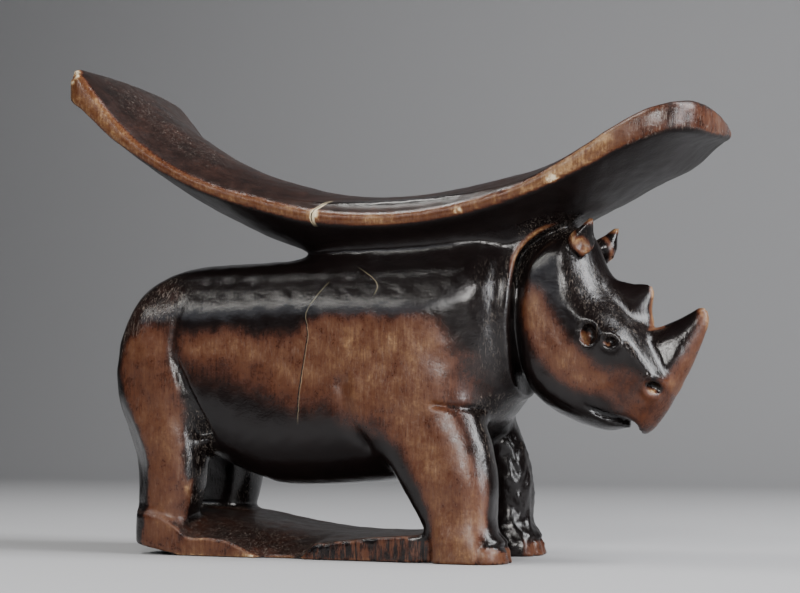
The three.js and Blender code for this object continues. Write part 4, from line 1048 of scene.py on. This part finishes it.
def with_cracks(wood, noise, colour):
    """The colour with the dark gap and broken pale border of each crack laid over it."""
    wobble = wood.varied(noise, CRACK_SWING)
    for name, crack in CRACKS.items():
        gap, border = crack["gap"], crack["border"]
        offset = wood.add(wood.attribute(name), wobble)
        reach = wood.attribute(name + "_reach")
        away = wood.math("ABSOLUTE", wood.math("SUBTRACT", offset, gap * BORDER_MIDDLE))
        light = wood.times(wood.ramp(away, border, border * BORDER_CORE), reach)
        broken = wood.ramp(noise["mottle"], end=crack["pale"], **BORDER_BREAKS)
        colour = wood.mix(wood.times(light, broken), colour, PALE_COLOUR)
        if gap:
            inside = wood.ramp(wood.math("ABSOLUTE", offset), gap * GAP_EDGE, gap)
            colour = wood.mix(wood.times(inside, reach), colour, CRACK_COLOUR)
    return colour


def wood_material():
    wood = Wood("polished_carved_wood")
    noise = {name: wood.noise(*settings) for name, settings in NOISES.items()}
    level = wear_level(wood, noise)
    # Pale scratches where the wood is handled or scuffed, and over the face a painted sheen made of
    # them.
    handled_and_sheen = wood.math("MAXIMUM", wood.attribute("scuffs_and_sheen"),
                        wood.ramp(wood.attribute("wear"), *HANDLED))
    scuff_and_sheen = wood.times(wood.ramp(noise["scratches"], *SCRATCHED), handled_and_sheen)
    colour = wood.colour_ramp(level, WOOD_COLOURS, FRESHEST)
    colour = wood.mix(wood.times(scuff_and_sheen, SCUFF_AND_SHEEN_STRENGTH), colour, SCUFF_AND_SHEEN_COLOUR)
    wood.set(wood.shader.inputs["Base Color"], with_cracks(wood, noise, colour))

    rough = wood.ramp(level, *ROUGHNESS_BY_WEAR)
    rough = wood.add(rough, wood.times(wood.attribute("dull"), ROUGHER["dull"]))
    rough = wood.add(rough, wood.centred(noise["mottle"], ROUGHER["mottle"]))
    rough = wood.add(rough, wood.times(scuff_and_sheen, ROUGHER["scuff_and_sheen"]))
    wood.set(wood.shader.inputs["Roughness"], rough)
    wood.shader.inputs["IOR"].default_value = REFRACTION
    wood.set(wood.shader.inputs["Specular IOR Level"],
             wood.ramp(wood.attribute("unpolished"), *REFLECTION_BELOW))
    for name, depth in RELIEF.items():
        wood.bump(noise[name], depth)
    return wood.material


# Studio: a pale floor that sweeps up behind, and soft lights.
FLOOR = {"half_width": 1.6, "front": -1.2, "back": 0.9, "radius": 0.5, "height": 1.4}
FLOOR_COLOUR = (0.44, 0.44, 0.45)
FLOOR_ROUGHNESS = 0.8
WORLD_COLOUR = (0.80, 0.82, 0.86)
WORLD_STRENGTH = 0.035


def make_floor():
    """A floor whose back end curves up into an upright sheet."""
    turns = 16
    profile = [(FLOOR["front"], 0.0), (FLOOR["back"], 0.0)]
    for step in range(1, turns + 1):
        turn = math.pi / 2 * step / turns
        profile.append((FLOOR["back"] + FLOOR["radius"] * math.sin(turn),
                        FLOOR["radius"] * (1 - math.cos(turn))))
    profile.append((FLOOR["back"] + FLOOR["radius"], FLOOR["height"]))
    sides = (-FLOOR["half_width"], FLOOR["half_width"])
    points = [(x, y, z) for y, z in profile for x in sides]
    faces = [(2 * k, 2 * k + 1, 2 * k + 3, 2 * k + 2) for k in range(len(profile) - 1)]
    mesh = bpy.data.meshes.new("floor")
    mesh.from_pydata(points, [], faces)
    mesh.polygons.foreach_set("use_smooth", [True] * len(faces))
    floor = add_object("floor", mesh)
    material = bpy.data.materials.new("pale_floor")
    material.use_nodes = True
    shader = material.node_tree.nodes["Principled BSDF"]
    shader.inputs["Base Color"].default_value = (*FLOOR_COLOUR, 1)
    shader.inputs["Roughness"].default_value = FLOOR_ROUGHNESS
    mesh.materials.append(material)


# Lights: name, place, width and height, watts, colour. All face the middle of the object.
OBJECT_MIDDLE = (0, 0, 0.09)
LIGHTS = [
    ("front_right", (0.36, -0.92, 0.40), (0.22, 0.17), 5.2, (1, 0.98, 0.95)),
    ("front_left", (0.02, -1.00, 0.45), (0.12, 0.22), 2.4, (1, 0.99, 0.97)),
    ("side_right", (0.88, 0.00, 0.62), (0.36, 0.60), 12.5, (0.97, 0.98, 1)),
    ("low_right", (0.94, -0.37, 0.23), (0.18, 0.30), 4.4, (0.97, 0.98, 1)),
    ("top_right", (0.50, 0.05, 0.96), (0.36, 0.36), 5, (0.97, 0.98, 1)),
    ("overhead", (-0.40, -0.15, 0.98), (0.34, 0.08), 4.0, (1, 0.99, 0.96)),
    ("upper_left", (-0.54, -0.68, 0.67), (0.45, 0.035), 1.7, (1, 0.99, 0.94)),
    ("fill_left", (-0.52, -0.84, 0.50), (0.80, 0.20), 0.7, (0.80, 0.87, 1)),
]


def aim(place, target):
    return (Vector(target) - Vector(place)).to_track_quat("-Z", "Y").to_euler()


def make_light(name, place, size, power, colour):
    light = bpy.data.lights.new(name, "AREA")
    light.shape = "RECTANGLE"
    light.size, light.size_y = size
    light.energy = power
    light.color = colour
    lamp = add_object(name, light)
    lamp.location = place
    lamp.rotation_euler = aim(place, OBJECT_MIDDLE)


CAMERA_PLACE = (0.2363, -0.52525, 0.039)
CAMERA_TARGET = (0.00243, 0.00004, 0.088)
CAMERA_LENS = 75.8
SENSOR_WIDTH = 36


def make_camera():
    data = bpy.data.cameras.new("camera")
    data.lens = CAMERA_LENS
    data.sensor_width = SENSOR_WIDTH
    data.sensor_fit = "HORIZONTAL"
    camera = add_object("camera", data)
    camera.location = CAMERA_PLACE
    camera.rotation_euler = aim(CAMERA_PLACE, CAMERA_TARGET)
    bpy.context.scene.camera = camera


def make_world():
    world = bpy.data.worlds.new("studio")
    world.use_nodes = True
    background = world.node_tree.nodes["Background"]
    background.inputs["Color"].default_value = (*WORLD_COLOUR, 1)
    background.inputs["Strength"].default_value = WORLD_STRENGTH
    bpy.context.scene.world = world


make_camera()
make_world()
make_floor()
for light in LIGHTS:
    make_light(*light)

carving = make_carving()
carving.data.materials.append(wood_material())
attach(carving, "root")
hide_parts("headrest")
